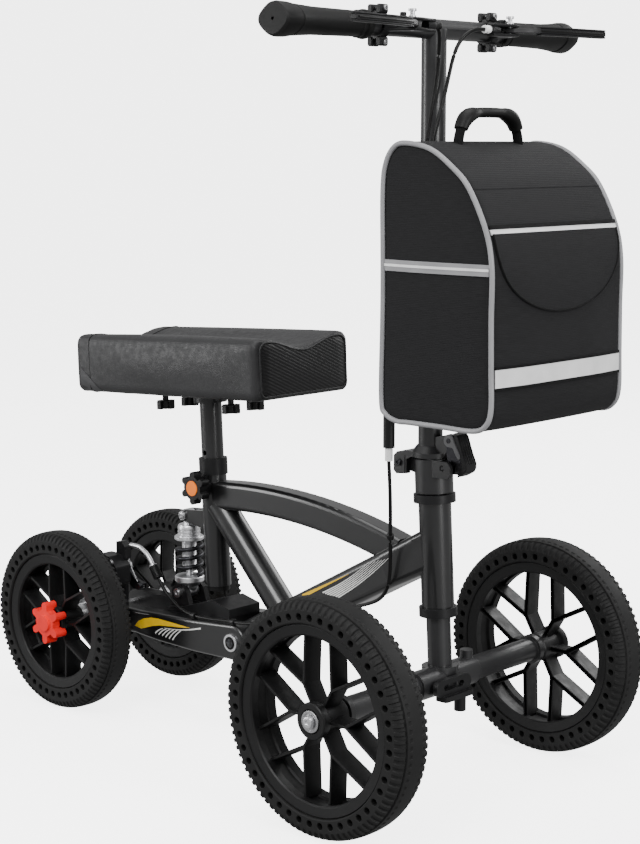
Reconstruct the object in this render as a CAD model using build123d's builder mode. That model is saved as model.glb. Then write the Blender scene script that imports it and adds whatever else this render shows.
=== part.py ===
from build123d import *
import os
from math import atan2, cos, degrees, hypot, pi, radians, sin, tan

# Knee scooter.  +X is the direction of travel, +Y the rider's left, +Z up, z = 0 the floor.
# All lengths are in millimetres.

os.makedirs("parts", exist_ok=True)

# ---- driving dimensions ------------------------------------------------------------------
FRONT_R, REAR_R = 150.0, 134.0            # tyre radii: 12 inch in front, 10.5 inch behind
WHEELBASE = 644.0
FRONT_X = 300.0                           # front axle line
REAR_X = FRONT_X - WHEELBASE
FRONT_TRACK, REAR_TRACK = 224.5, 113.0    # wheel mid-planes from the centre line
FRONT_TYRE_W, REAR_TYRE_W = 55.0, 50.0
AXLE_R = 6.0                              # 12 mm wheel axles
RUNNING_GAP = 0.06                        # radial clearance of every running fit

LEAN = radians(3.0)                       # rake of the head tube and of the seat post
STEM_X = 276.4                            # upright stem
STEM_R, STEM_WALL = 15.9, 2.4
BAR_Z, BAR_R, BAR_HALF = 983.0, 12.5, 281.0
GRIP_IN = 128.0                           # inner end of the grips from the centre line

HEAD_FOOT = Vector(FRONT_X - 3.0, 0, FRONT_R)       # head axis at axle height
HEAD_DIR = Vector(-sin(LEAN), 0, cos(LEAN))
HEAD_R, STEERER_R = 21.35, 15.9
CUP_R = 24.9                              # lower half of the folding joint
FOLD_PIN = (240.0, 432.6)                 # x, z of the stem's hinge
LATCH_PIN = (316.5, 468.0)                # x, z of the latch lever's hinge
LINK_PIN = (319.0, 441.0)                 # x, z of the link's hinge on the lever

SEAT_FOOT = Vector(-126.0, 0, 240.0)      # a point on the seat tube's axis
SEAT_TUBE_R, SEAT_POST_R = 18.5, 16.0
PAD_PLANE_UP = 249.3                      # along the post, from SEAT_FOOT to the pad's underside
PAD_LENGTH, PAD_WIDTH, PAD_HEIGHT = 376.0, 186.0, 84.0

PIVOT = (-41.0, 143.0)                    # x, z of the swingarm's pivot
ARM_IN, ARM_OUT = 30.5, 55.0              # swingarm plates, from the centre line
SHOCK_X, SHOCK_TOP_Z, SHOCK_LOW_Z = -187.0, 300.0, 185.0
EAR_IN, EAR_OUT = 8.0, 11.5               # the shock's upper ears, from the centre line
CALIPER = (-285.0, 212.0)                 # x, z of the brake caliper
DISC_Y, DISC_R = -72.0, 80.0

CABLE_D = 5.0
HEAD_PLANE = Plane(origin=HEAD_FOOT, x_dir=(cos(LEAN), 0, sin(LEAN)), z_dir=HEAD_DIR)
SEAT_PLANE = Plane(origin=SEAT_FOOT, x_dir=(cos(LEAN), 0, sin(LEAN)), z_dir=HEAD_DIR)
RIGHT, LEFT = -1, 1


# ---- helpers -------------------------------------------------------------------------------
def keep(part, name):
    """Label one node and write its STEP file."""
    part.label = name
    export_step(part, f"parts/{name}.step")


def side_plane(y):
    """A plane facing the rider's right at distance y: sketch x is +X, sketch y is +Z."""
    return Plane(origin=(0, y, 0), x_dir=(1, 0, 0), z_dir=(0, -1, 0))


def axis_plane(x, y, z):
    """A plane facing the rider's right, with its origin at a point."""
    return Plane(origin=(x, y, z), x_dir=(1, 0, 0), z_dir=(0, -1, 0))


def largest(part):
    """The main solid of a piece whose trimmed ends may leave a loose sliver."""
    return part.solids().sort_by(SortBy.VOLUME)[-1]


def cross_tube(x, z, y_from, y_to, outer, inner=0.0):
    """A round bar or tube across the scooter, from y_from to y_to."""
    with BuildPart() as bar:
        with BuildSketch(side_plane(max(y_from, y_to))) as ring:
            with Locations((x, z)):
                Circle(outer)
                if inner:
                    Circle(inner, mode=Mode.SUBTRACT)
        extrude(amount=abs(y_to - y_from))
    return bar.part


def axial_tube(plane, low, high, outer, inner=0.0):
    """A round bar or tube along a plane's normal, between two heights over the plane."""
    with BuildPart() as bar:
        with BuildSketch(plane.offset(low)):
            Circle(outer)
            if inner:
                Circle(inner, mode=Mode.SUBTRACT)
        extrude(amount=high - low)
    return bar.part


def cord_wire(points):
    """Straight runs joined by tangent arcs as large as the two runs at each corner allow."""
    pts = [Vector(*p) for p in points]
    radii = []
    for before, corner, after in zip(pts, pts[1:], pts[2:]):
        run_in, run_out = corner - before, after - corner
        half_turn = radians(run_in.get_angle(run_out)) / 2
        radii.append(0.45 * min(run_in.length, run_out.length) / tan(half_turn))
    with BuildLine() as path:
        FilletPolyline(*pts, radius=radii)
    return path.wires()[0], min(radii)


def cord(points, diameter):
    """A cable along its route."""
    wire, tightest = cord_wire(points)
    with BuildPart() as tube:
        with BuildSketch(Plane(origin=wire @ 0, z_dir=wire % 0)):
            Circle(diameter / 2)
        sweep(path=wire)
    expected = wire.length * pi * diameter ** 2 / 4
    print(f"  cord {wire.length:.0f} mm long, tightest radius {tightest:.0f} mm,",
          f"volume {tube.part.volume / expected:.3f} of section times length")
    return tube.part


def star_profile(lobes, valley, lobe_r, reach):
    """Outline of a star grip: a core with round-ended lobes."""
    Circle(valley)
    with PolarLocations(0, lobes, start_angle=90):
        with Locations((reach / 2, 0)):
            Rectangle(reach, 2 * lobe_r)
        with Locations((reach, 0)):
            Circle(lobe_r)


# ---- wheels ----------------------------------------------------------------------------------
def make_tyre(x, y, radius, bead, width):
    """A solid airless tyre: flat bead, bulged side wall, low crown."""
    half = width / 2
    depth = radius - bead
    with BuildPart() as tyre:
        with BuildSketch(Plane(origin=(x, y, radius), x_dir=(1, 0, 0), z_dir=(0, 0, 1))):
            with BuildLine():
                Polyline((bead, -half + 7), (bead, half - 7), (bead + 2, half - 1.5),
                         (bead + depth * 0.3, half), (bead + depth * 0.66, half - 0.5),
                         (bead + depth * 0.88, half - 6))
                ThreePointArc((bead + depth * 0.88, half - 6), (radius, 0),
                              (bead + depth * 0.88, -half + 6))
                Polyline((bead + depth * 0.88, -half + 6), (bead + depth * 0.66, -half + 0.5),
                         (bead + depth * 0.3, -half), (bead + 2, -half + 1.5), (bead, -half + 7))
            make_face()
        revolve(axis=Axis((x, y, radius), (0, 1, 0)))
    return tyre.part


def make_rim(x, y, z, bead, lip_in, hub_half):
    """A cast rim: barrel, hub with two bearing seats and six forked spokes."""
    rim_half, fork_r, arm_w = 19.0, 0.43 * lip_in, 7.0
    seat_r, bearing_w, sleeve_r = 14.0, 8.0, 7.5
    with BuildPart() as rim:
        with BuildSketch(Plane(origin=(x, y, z), x_dir=(1, 0, 0), z_dir=(0, 0, 1))):
            with BuildLine():
                Polyline((lip_in, -rim_half), (lip_in, -rim_half + 6), (lip_in + 5, -rim_half + 8),
                         (lip_in + 5, rim_half - 8), (lip_in, rim_half - 6), (lip_in, rim_half),
                         (bead, rim_half), (bead, -rim_half), close=True)
            make_face()
            with Locations(((sleeve_r + 23) / 2, 0)):
                Rectangle(23 - sleeve_r, 2 * (hub_half - bearing_w - 0.2))
            with Locations(((seat_r + 18) / 2, 0)):
                Rectangle(18 - seat_r, 2 * hub_half)
        revolve(axis=Axis((x, y, z), (0, 1, 0)))
        with BuildSketch(side_plane(y + 14)):
            for turn in range(6):
                angle = radians(60 * turn)
                fork = (x + fork_r * cos(angle), z + fork_r * sin(angle))
                spans = [((x + 21 * cos(angle), z + 21 * sin(angle)), fork)]
                for spread in (-15, 15):
                    tip = angle + radians(spread)
                    reach = lip_in + 3
                    spans.append((fork, (x + reach * cos(tip), z + reach * sin(tip))))
                for start, end in spans:
                    run = hypot(end[0] - start[0], end[1] - start[1])
                    slope = degrees(atan2(end[1] - start[1], end[0] - start[0]))
                    middle = ((start[0] + end[0]) / 2, (start[1] + end[1]) / 2)
                    with Locations(Location((*middle, 0), (0, 0, slope))):
                        SlotCenterToCenter(run, arm_w)
        extrude(amount=28)
    return rim.part


WHEELS = [("front", FRONT_X, FRONT_TRACK, FRONT_R, 120.0, 105.0, FRONT_TYRE_W, 26.0),
          ("rear", REAR_X, REAR_TRACK, REAR_R, 102.0, 86.0, REAR_TYRE_W, 23.5)]
for axle, x, track, radius, bead, lip_in, tyre_w, hub_half in WHEELS:
    races = []
    for side, hand in ((RIGHT, "right"), (LEFT, "left")):
        keep(make_tyre(x, side * track, radius, bead, tyre_w), f"{axle}_tyre_{hand}")
        keep(make_rim(x, side * track, radius, bead, lip_in, hub_half), f"{axle}_rim_{hand}")
        for end in (RIGHT, LEFT):
            near = side * track + end * (hub_half - 8.0)
            far = side * track + end * hub_half
            races.append(cross_tube(x, radius, near, far, 14.0 - RUNNING_GAP, AXLE_R))
    keep(Compound(children=races), f"{axle}_bearings")

# ---- frame -----------------------------------------------------------------------------------
BEAM_H, BEAM_W, BEAM_WALL, BEAM_CORNER = 50.0, 56.0, 2.5, 9.5
beam_dx, beam_dz = 288.0 - PIVOT[0], 323.0 - PIVOT[1]
beam_len = hypot(beam_dx, beam_dz)
BEAM_PLANE = Plane(origin=(PIVOT[0], 0, PIVOT[1]), x_dir=(0, 1, 0), z_dir=(beam_dx, 0, beam_dz))
BARREL_R = 22.0


def lower_beam_solid(solid_core):
    """The straight main beam from the swingarm's pivot up to the head tube."""
    straight = beam_len - 75
    with BuildPart() as beam:
        with BuildSketch(BEAM_PLANE):
            RectangleRounded(BEAM_W, BEAM_H, BEAM_CORNER)
        extrude(amount=straight)
        with BuildSketch(BEAM_PLANE.offset(straight)):
            RectangleRounded(BEAM_W, BEAM_H, BEAM_CORNER)
        with BuildSketch(BEAM_PLANE.offset(beam_len)):
            RectangleRounded(39, 54, BEAM_CORNER)
        loft()
        if not solid_core:
            with BuildSketch(BEAM_PLANE):
                RectangleRounded(BEAM_W - 2 * BEAM_WALL, BEAM_H - 2 * BEAM_WALL,
                                 BEAM_CORNER - BEAM_WALL)
            extrude(amount=straight, mode=Mode.SUBTRACT)
        with BuildSketch(HEAD_PLANE):
            Circle(HEAD_R)
        extrude(amount=400, mode=Mode.SUBTRACT)
    return beam.part


BEAM_CORE = lower_beam_solid(True)

with BuildPart() as lower_beam:
    add(lower_beam_solid(False))
    with BuildSketch(side_plane(29.5)):
        with Locations(PIVOT):
            Circle(BARREL_R)
    extrude(amount=59)
    with BuildSketch(side_plane(29.5)):
        with Locations(PIVOT):
            Circle(10.0)
    extrude(amount=59, mode=Mode.SUBTRACT)
keep(largest(lower_beam.part), "lower_beam")

with BuildPart() as seat_tube:
    add(axial_tube(SEAT_PLANE, -36, 128, SEAT_TUBE_R, SEAT_POST_R + RUNNING_GAP))
    # two ears behind the tube carry the shock's upper bolt
    with BuildSketch(side_plane(EAR_OUT)):
        with BuildLine():
            Polyline((-128, 284), (-128, 314), (SHOCK_X - 4, 308), (SHOCK_X - 9, 302),
                     (SHOCK_X - 9, 297), (SHOCK_X - 4, 292), close=True)
        make_face()
    extrude(amount=2 * EAR_OUT)
    with BuildSketch(side_plane(EAR_IN)):
        with Locations((SHOCK_X + 2, SHOCK_TOP_Z)):
            Rectangle(56, 80)
    extrude(amount=2 * EAR_IN, mode=Mode.SUBTRACT)
    with BuildSketch(SEAT_PLANE.offset(-36)):
        Circle(SEAT_POST_R + RUNNING_GAP)
    extrude(amount=164, mode=Mode.SUBTRACT)
    with BuildSketch(side_plane(22)):
        with Locations((SHOCK_X, SHOCK_TOP_Z)):
            Circle(4.0)
    extrude(amount=44, mode=Mode.SUBTRACT)
keep(seat_tube.part, "seat_tube")

UPPER_ARC_R, UPPER_APEX_X, UPPER_APEX_Z = 900.0, -20.0, 344.3
UPPER_START, UPPER_MIDDLE, UPPER_END = -118.0, 50.0, 232.0
UPPER_H, UPPER_W = 40.0, 36.0


def upper_beam_solid(solid_core):
    """The arched beam from the seat tube to the top of the lower beam."""
    spots = [(px, 0, UPPER_APEX_Z - (px - UPPER_APEX_X) ** 2 / (2 * UPPER_ARC_R))
             for px in (UPPER_START, UPPER_MIDDLE, UPPER_END)]
    with BuildPart() as beam:
        with BuildLine() as spine:
            ThreePointArc(*spots)
        with BuildSketch(Plane(origin=spine.line @ 0, x_dir=(0, 1, 0), z_dir=spine.line % 0)):
            RectangleRounded(UPPER_W, UPPER_H, 7)
            if not solid_core:
                RectangleRounded(UPPER_W - 5, UPPER_H - 5, 4.5, mode=Mode.SUBTRACT)
        sweep()
        add(BEAM_CORE, mode=Mode.SUBTRACT)
        with BuildSketch(SEAT_PLANE.offset(-60)):
            Circle(SEAT_TUBE_R)
        extrude(amount=260, mode=Mode.SUBTRACT)
    return largest(beam.part)


keep(upper_beam_solid(False), "upper_beam")

BRACE_TOP, BRACE_LOW, BRACE_R = (-119.0, 324.0), (22.0, 177.5), 20.5
with BuildPart() as brace_tube:
    run = Vector(BRACE_LOW[0] - BRACE_TOP[0], 0, BRACE_LOW[1] - BRACE_TOP[1])
    with BuildSketch(Plane(origin=(BRACE_TOP[0], 0, BRACE_TOP[1]), z_dir=run)):
        Circle(BRACE_R)
        Circle(BRACE_R - 2.2, mode=Mode.SUBTRACT)
    extrude(amount=run.length)
    add(BEAM_CORE, mode=Mode.SUBTRACT)
    add(upper_beam_solid(True), mode=Mode.SUBTRACT)
    with BuildSketch(SEAT_PLANE.offset(-60)):
        Circle(SEAT_TUBE_R)
    extrude(amount=260, mode=Mode.SUBTRACT)
keep(largest(brace_tube.part), "brace_tube")

HEAD_LOW, HEAD_HIGH = 96.0, 234.0         # along the head axis from axle height
keep(axial_tube(HEAD_PLANE, HEAD_LOW, HEAD_HIGH, HEAD_R, 18.0), "head_tube")
BEARING_DEPTH = 10.0
headset = [axial_tube(HEAD_PLANE, HEAD_HIGH, HEAD_HIGH + 11, 27.5, STEERER_R + 1.5),
           axial_tube(HEAD_PLANE, HEAD_LOW - 12, HEAD_LOW, 25.0, STEERER_R + 1.5),
           axial_tube(HEAD_PLANE, HEAD_HIGH - BEARING_DEPTH, HEAD_HIGH, 18.0, STEERER_R + RUNNING_GAP),
           axial_tube(HEAD_PLANE, HEAD_LOW, HEAD_LOW + BEARING_DEPTH, 18.0, STEERER_R + RUNNING_GAP)]
keep(Compound(children=headset), "headset")

COLLAR_LOW, COLLAR_HIGH = 128.0, 152.0    # along the seat axis
KNOB_UP = 112.0                           # the clamp knob's height along the seat axis
KNOB_X = SEAT_FOOT.X - KNOB_UP * sin(LEAN)
KNOB_Z = SEAT_FOOT.Z + KNOB_UP * cos(LEAN)
with BuildPart() as seat_collar:
    add(axial_tube(SEAT_PLANE, COLLAR_LOW, COLLAR_HIGH, 20.8, SEAT_POST_R + RUNNING_GAP))
    # boss for the clamp knob, hung from the collar on the tube's right side
    add(cross_tube(KNOB_X, KNOB_Z, -29.5, -12, 12.0, 5.2))
    with BuildSketch(side_plane(-19)):
        with Locations((KNOB_X - 0.7, KNOB_Z + 12.5)):
            Rectangle(15, 12)
    extrude(amount=4)
    with BuildSketch(SEAT_PLANE):
        Circle(SEAT_TUBE_R)
    extrude(amount=COLLAR_LOW, mode=Mode.SUBTRACT)
    with BuildSketch(SEAT_PLANE.offset(COLLAR_LOW)):
        Circle(SEAT_POST_R + RUNNING_GAP)
    extrude(amount=40, mode=Mode.SUBTRACT)
    add(upper_beam_solid(True), mode=Mode.SUBTRACT)
keep(largest(seat_collar.part), "seat_collar")

keep(axial_tube(SEAT_PLANE, -43, -36, 16.5), "bump_stop")

with BuildPart() as pivot_axle:
    add(cross_tube(*PIVOT, -58.0, 58.0, 9.9, 6.0))
    for y_from, y_to in ((-58.0, -55.4), (55.4, 58.0)):
        add(cross_tube(*PIVOT, y_from, y_to, 12.5, 6.0))
keep(pivot_axle.part, "pivot_axle")


def through_bolt(x, z, half, shank, head, head_thick):
    """A bolt across the scooter with a round head at both ends."""
    with BuildPart() as bolt:
        add(cross_tube(x, z, -half, half, shank))
        for side in (RIGHT, LEFT):
            add(cross_tube(x, z, side * half, side * (half + head_thick), head))
    return bolt.part


keep(through_bolt(SHOCK_X, SHOCK_TOP_Z, EAR_OUT, 4.0, 7.0, 3.0), "shock_bolt_upper")
keep(through_bolt(SHOCK_X, SHOCK_LOW_Z, 21.0, 4.0, 7.0, 5.0), "shock_bolt_lower")

# ---- swingarm -------------------------------------------------------------------------------
arms = []
for side in (RIGHT, LEFT):
    with BuildPart() as arm:
        with BuildSketch(side_plane(ARM_OUT if side == LEFT else -ARM_IN)):
            with BuildLine():
                Polyline((-41, 169), (-130, 161), (-240, 154), (-344, 154))
                ThreePointArc((-344, 154), (-364, 134), (-344, 114))
                Polyline((-344, 114), (-250, 118), (-200, 115), (-125, 114), (-41, 117))
                ThreePointArc((-41, 117), (-15, 143), (-41, 169))
            make_face()
        extrude(amount=ARM_OUT - ARM_IN)
        fillet(arm.edges().group_by(Axis.Y)[-1 if side == LEFT else 0], 5)
        with BuildSketch(side_plane(60)):
            with Locations(PIVOT):
                Circle(9.9 + RUNNING_GAP)
            with Locations((REAR_X, REAR_R)):
                Circle(AXLE_R)
        extrude(amount=120, mode=Mode.SUBTRACT)
    arms.append(arm.part)
keep(Compound(children=arms), "swingarm_arms")

with BuildPart() as swingarm_bridge:
    with BuildSketch(side_plane(ARM_IN)):
        with BuildLine():
            Polyline((-215, 150), (-205, 162), (-176, 166), (-133, 180), (-105, 188.5), (-70, 181),
                     (-70, 168), (-82, 140), (-215, 128), close=True)
        make_face()
    extrude(amount=2 * ARM_IN)
    # a fork on top of the bridge takes the shock's lower eye
    with BuildSketch(side_plane(21)):
        with BuildLine():
            Polyline((-206, 160), (-202, 190), (-193, 197), (-181, 197), (-172, 190), (-164, 166),
                     close=True)
        make_face()
    extrude(amount=42)
    with BuildSketch(side_plane(13)):
        with Locations((-187, 188)):
            Rectangle(60, 44)
    extrude(amount=26, mode=Mode.SUBTRACT)
    with BuildSketch(side_plane(22)):
        with Locations((SHOCK_X, SHOCK_LOW_Z)):
            Circle(4.0)
    extrude(amount=44, mode=Mode.SUBTRACT)
keep(swingarm_bridge.part, "swingarm_bridge")

REAR_HUB_OUT = REAR_TRACK + 23.5
REAR_HUB_IN = REAR_TRACK - 23.5
with BuildPart() as rear_axle:
    add(cross_tube(REAR_X, REAR_R, -REAR_HUB_OUT - 9, REAR_HUB_OUT + 4, AXLE_R))
    add(cross_tube(REAR_X, REAR_R, REAR_HUB_OUT + 0.4, REAR_HUB_OUT + 4, 9))
    for side in (RIGHT, LEFT):
        add(cross_tube(REAR_X, REAR_R, side * ARM_OUT, side * (REAR_HUB_IN - 0.3), 8.6))
keep(rear_axle.part, "rear_axle")

# ---- shock absorber -------------------------------------------------------------------------
EYE_GAP = 0.3
SPRING_LOW, SPRING_HIGH, COIL_R, WIRE_R = 208.0, 262.0, 18.5, 3.2
with BuildPart() as shock_body:
    add(cross_tube(SHOCK_X, SHOCK_TOP_Z, -EAR_IN + 0.5, EAR_IN - 0.5, 9.0))
    with BuildSketch(Plane.XY.offset(SPRING_HIGH + 6)):
        with Locations((SHOCK_X, 0)):
            Circle(17)
    extrude(amount=18)
    with BuildSketch(Plane.XY.offset(SPRING_HIGH)):
        with Locations((SHOCK_X, 0)):
            Circle(22)
    extrude(amount=6)
    with BuildSketch(Plane.XY.offset(SPRING_HIGH + 24)):
        with Locations((SHOCK_X, 0)):
            Rectangle(14, 2 * EAR_IN - 1)
    extrude(amount=12)
    with BuildSketch(Plane.XY.offset(222)):
        with Locations((SHOCK_X, 0)):
            Circle(11)
    extrude(amount=SPRING_HIGH - 222)
    with BuildSketch(Plane.XY.offset(200)):
        with Locations((SHOCK_X, 0)):
            Circle(5.0 + RUNNING_GAP)
    extrude(amount=75, mode=Mode.SUBTRACT)
    with BuildSketch(side_plane(13)):
        with Locations((SHOCK_X, SHOCK_TOP_Z)):
            Circle(4.0 + RUNNING_GAP)
    extrude(amount=26, mode=Mode.SUBTRACT)
keep(shock_body.part, "shock_body")

with BuildPart() as shock_spring:
    rise = SPRING_HIGH - SPRING_LOW - 2 * WIRE_R
    with BuildLine() as turns:
        Helix(pitch=rise / 3.5, height=rise, radius=COIL_R, center=(SHOCK_X, 0, SPRING_LOW + WIRE_R))
    with BuildSketch(Plane(origin=turns.line @ 0, z_dir=turns.line % 0)):
        Circle(WIRE_R)
    sweep(is_frenet=True)
keep(shock_spring.part, "shock_spring")

with BuildPart() as shock_rod:
    add(cross_tube(SHOCK_X, SHOCK_LOW_Z, -12, 12, 9.0))
    with BuildSketch(Plane.XY.offset(192)):
        with Locations((SHOCK_X, 0)):
            Rectangle(16, 20)
    extrude(amount=10)
    with BuildSketch(Plane.XY.offset(200)):
        with Locations((SHOCK_X, 0)):
            Circle(22)
    extrude(amount=8)
    with BuildSketch(Plane.XY.offset(208)):
        with Locations((SHOCK_X, 0)):
            Circle(5)
    extrude(amount=40)
    with BuildSketch(side_plane(13)):
        with Locations((SHOCK_X, SHOCK_LOW_Z)):
            Circle(4.0 + EYE_GAP)
    extrude(amount=26, mode=Mode.SUBTRACT)
keep(shock_rod.part, "shock_rod")

# ---- rear brake ------------------------------------------------------------------------------
with BuildPart() as brake_disc:
    with BuildSketch(side_plane(DISC_Y + 1)):
        with Locations((REAR_X, REAR_R)):
            Circle(DISC_R)
            Circle(DISC_R - 16, mode=Mode.SUBTRACT)
            Circle(24)
            with PolarLocations((DISC_R - 8 + 24) / 2, 6):
                Rectangle(DISC_R - 8 - 20, 7)
            Circle(9, mode=Mode.SUBTRACT)
            with PolarLocations(DISC_R - 8, 30):
                Circle(2.2, mode=Mode.SUBTRACT)
    extrude(amount=2)
    # spacer between the disc and the hub
    add(cross_tube(REAR_X, REAR_R, DISC_Y - 1, -REAR_HUB_IN, 17.0, 9.0))
keep(brake_disc.part, "brake_disc")

with BuildPart() as brake_caliper:
    with BuildSketch(side_plane(-56)):
        with BuildLine():
            Polyline((-312, 196), (-316, 222), (-300, 236), (-272, 236), (-256, 222), (-256, 196),
                     (-270, 182), (-298, 182), close=True)
        make_face()
    extrude(amount=28)
    fillet(brake_caliper.edges().filter_by(Axis.Y), 5)
    with BuildSketch(side_plane(DISC_Y + 1.6)):
        with Locations((REAR_X, REAR_R)):
            Circle(DISC_R + 3)
    extrude(amount=3.2, mode=Mode.SUBTRACT)
    # foot that bolts the caliper to the arm
    with BuildSketch(side_plane(-ARM_OUT)):
        with BuildLine():
            Polyline((-262, 140), (-262, 190), (-292, 190), (-300, 140), close=True)
        make_face()
    extrude(amount=8)
    with BuildSketch(side_plane(-ARM_OUT)):
        with Locations(CALIPER):
            Circle(6)
    extrude(amount=13, mode=Mode.SUBTRACT)
    # ear that holds the cable's guide pipe
    with BuildSketch(side_plane(-49)):
        with BuildLine():
            Polyline((-282, 236), (-282, 254), (-270, 256), (-262, 248), (-262, 230), close=True)
        make_face()
    extrude(amount=12)
keep(brake_caliper.part, "brake_caliper")

with BuildPart() as caliper_arm:
    add(cross_tube(*CALIPER, -67, -40, 5.9))
    with BuildSketch(side_plane(-40)):
        with Locations(CALIPER):
            Circle(10)
        with BuildLine():
            Polyline((-291, 206), (-262, 182), (-240, 186), (-238, 194), (-258, 198), (-279, 220),
                     close=True)
        make_face()
    extrude(amount=6)
    add(cross_tube(-243, 190, -54, -46, 5))
keep(caliper_arm.part, "caliper_arm")

# ---- seat ------------------------------------------------------------------------------------
PAD_PLANE = SEAT_PLANE.offset(PAD_PLANE_UP)
POST_LOW = 34.0
with BuildPart() as seat_post:
    add(axial_tube(SEAT_PLANE, POST_LOW, PAD_PLANE_UP - 5, SEAT_POST_R, SEAT_POST_R - 2.4))
    with BuildSketch(PAD_PLANE.offset(-5)):
        RectangleRounded(220, 76, 8)
    extrude(amount=4.7)
    with BuildSketch(PAD_PLANE.offset(-16)):
        Circle(24)
        Circle(SEAT_POST_R - 2.4, mode=Mode.SUBTRACT)
    extrude(amount=11)
    # index holes down the right side of the post
    for step in range(4):
        up = POST_LOW + 36 + 30 * step
        with BuildSketch(side_plane(0)):
            with Locations((SEAT_FOOT.X - up * sin(LEAN), SEAT_FOOT.Z + up * cos(LEAN))):
                Circle(3.5)
        extrude(amount=20, mode=Mode.SUBTRACT)
keep(seat_post.part, "seat_post")

with BuildPart() as knee_pad:
    with BuildSketch(PAD_PLANE):
        with Locations((1.5, 0)):
            RectangleRounded(PAD_LENGTH, PAD_WIDTH, 13)
    extrude(amount=PAD_HEIGHT)
    # shallow trough for the shin, along the pad
    trough_r = 210.0
    with BuildSketch(Plane(origin=PAD_PLANE.origin, x_dir=(0, 1, 0), z_dir=PAD_PLANE.x_dir).offset(-220)):
        with Locations((0, PAD_HEIGHT - 15 + trough_r)):
            Circle(trough_r)
    extrude(amount=440, mode=Mode.SUBTRACT)
keep(knee_pad.part, "knee_pad")

pad_knobs = []
for along in (-70.0, 68.0):
    for side in (RIGHT, LEFT):
        with BuildPart() as knob:
            with BuildSketch(PAD_PLANE.offset(-27)):
                with Locations((along, side * 24)):
                    Circle(9)
                    Rectangle(28, 8)
                    Rectangle(8, 28)
            extrude(amount=12)
            with BuildSketch(PAD_PLANE.offset(-15)):
                with Locations((along, side * 24)):
                    Circle(4.5)
            extrude(amount=10)
        pad_knobs.append(knob.part)
keep(Compound(children=pad_knobs), "pad_knobs")

with BuildPart() as seat_knob:
    with BuildSketch(axis_plane(KNOB_X, -30, KNOB_Z)):
        star_profile(6, 17, 5.0, 19.0)
    extrude(amount=14)
    add(cross_tube(KNOB_X, KNOB_Z, -30, -22, 5.1))
    with BuildSketch(axis_plane(KNOB_X, -41, KNOB_Z)):
        Circle(11.2)
    extrude(amount=4, mode=Mode.SUBTRACT)
keep(seat_knob.part, "seat_knob")
keep(cross_tube(KNOB_X, KNOB_Z, -45.0, -41, 11.0), "seat_knob_disc")

# ---- steering --------------------------------------------------------------------------------
CUP_LOW, CUP_HIGH = 247.0, 291.0          # along the head axis
with BuildPart() as steerer:
    add(axial_tube(HEAD_PLANE, 15, CUP_LOW + 5, STEERER_R, STEERER_R - 2.6))
    add(axial_tube(HEAD_PLANE, CUP_LOW, CUP_HIGH, CUP_R, 18.5))
    add(axial_tube(HEAD_PLANE, CUP_LOW, CUP_LOW + 4, CUP_R, STEERER_R - 2.6))
    # tongue of the stem's hinge, behind the cup
    with BuildSketch(side_plane(11.6)):
        with BuildLine():
            Polyline((262, 420), (240, 423.6))
            ThreePointArc((240, 423.6), (231, 432.6), (240, 441.6))
            Polyline((240, 441.6), (262, 439.5), (262, 420))
        make_face()
    extrude(amount=23.2)
    with BuildSketch(side_plane(12)):
        with Locations(FOLD_PIN):
            Circle(4.0 + RUNNING_GAP)
    extrude(amount=24, mode=Mode.SUBTRACT)
    # catch lip in front of the cup for the latch link, between two cheeks
    with BuildSketch(side_plane(9)):
        with Locations((307, 437)):
            Rectangle(10, 6)
    extrude(amount=18)
    for y_top in (20.5, -15.5):
        with BuildSketch(side_plane(y_top)):
            with Locations((303.5, 430.6)):
                RectangleRounded(46, 22.4, 9)
        extrude(amount=5)
    with BuildSketch(HEAD_PLANE.offset(CUP_LOW + 4)):
        Circle(18.5)
    extrude(amount=60, mode=Mode.SUBTRACT)
keep(steerer.part, "steerer")

with BuildPart() as front_axle_beam:
    add(cross_tube(FRONT_X, FRONT_R, -FRONT_TRACK + 30, FRONT_TRACK - 30, 16.0, AXLE_R))
    add(cross_tube(FRONT_X, FRONT_R, -58, 58, 19.5, AXLE_R))
    for side in (RIGHT, LEFT):
        add(cross_tube(FRONT_X, FRONT_R, side * (FRONT_TRACK - 36), side * (FRONT_TRACK - 28), 20, AXLE_R))
    with BuildSketch(HEAD_PLANE.offset(-14)):
        Circle(24)
    extrude(amount=32)
    with BuildSketch(HEAD_PLANE.offset(15)):
        Circle(STEERER_R)
    extrude(amount=10, mode=Mode.SUBTRACT)
    # bush on top of the left tube
    with BuildSketch(Plane.XY.offset(FRONT_R + 14)):
        with Locations((FRONT_X, 50)):
            Circle(8.5)
    extrude(amount=15)
    with BuildSketch(side_plane(FRONT_TRACK)):
        with Locations((FRONT_X, FRONT_R)):
            Circle(AXLE_R)
    extrude(amount=2 * FRONT_TRACK, mode=Mode.SUBTRACT)
keep(front_axle_beam.part, "front_axle_beam")

bolts = []
for side in (RIGHT, LEFT):
    hub_out = FRONT_TRACK + 26.0
    with BuildPart() as bolt:
        add(cross_tube(FRONT_X, FRONT_R, side * 120, side * (hub_out + 3), AXLE_R))
        add(cross_tube(FRONT_X, FRONT_R, side * (hub_out + 0.5), side * (hub_out + 3), 9))
    bolts.append(bolt.part)
keep(Compound(children=bolts), "front_axle_bolts")

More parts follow.
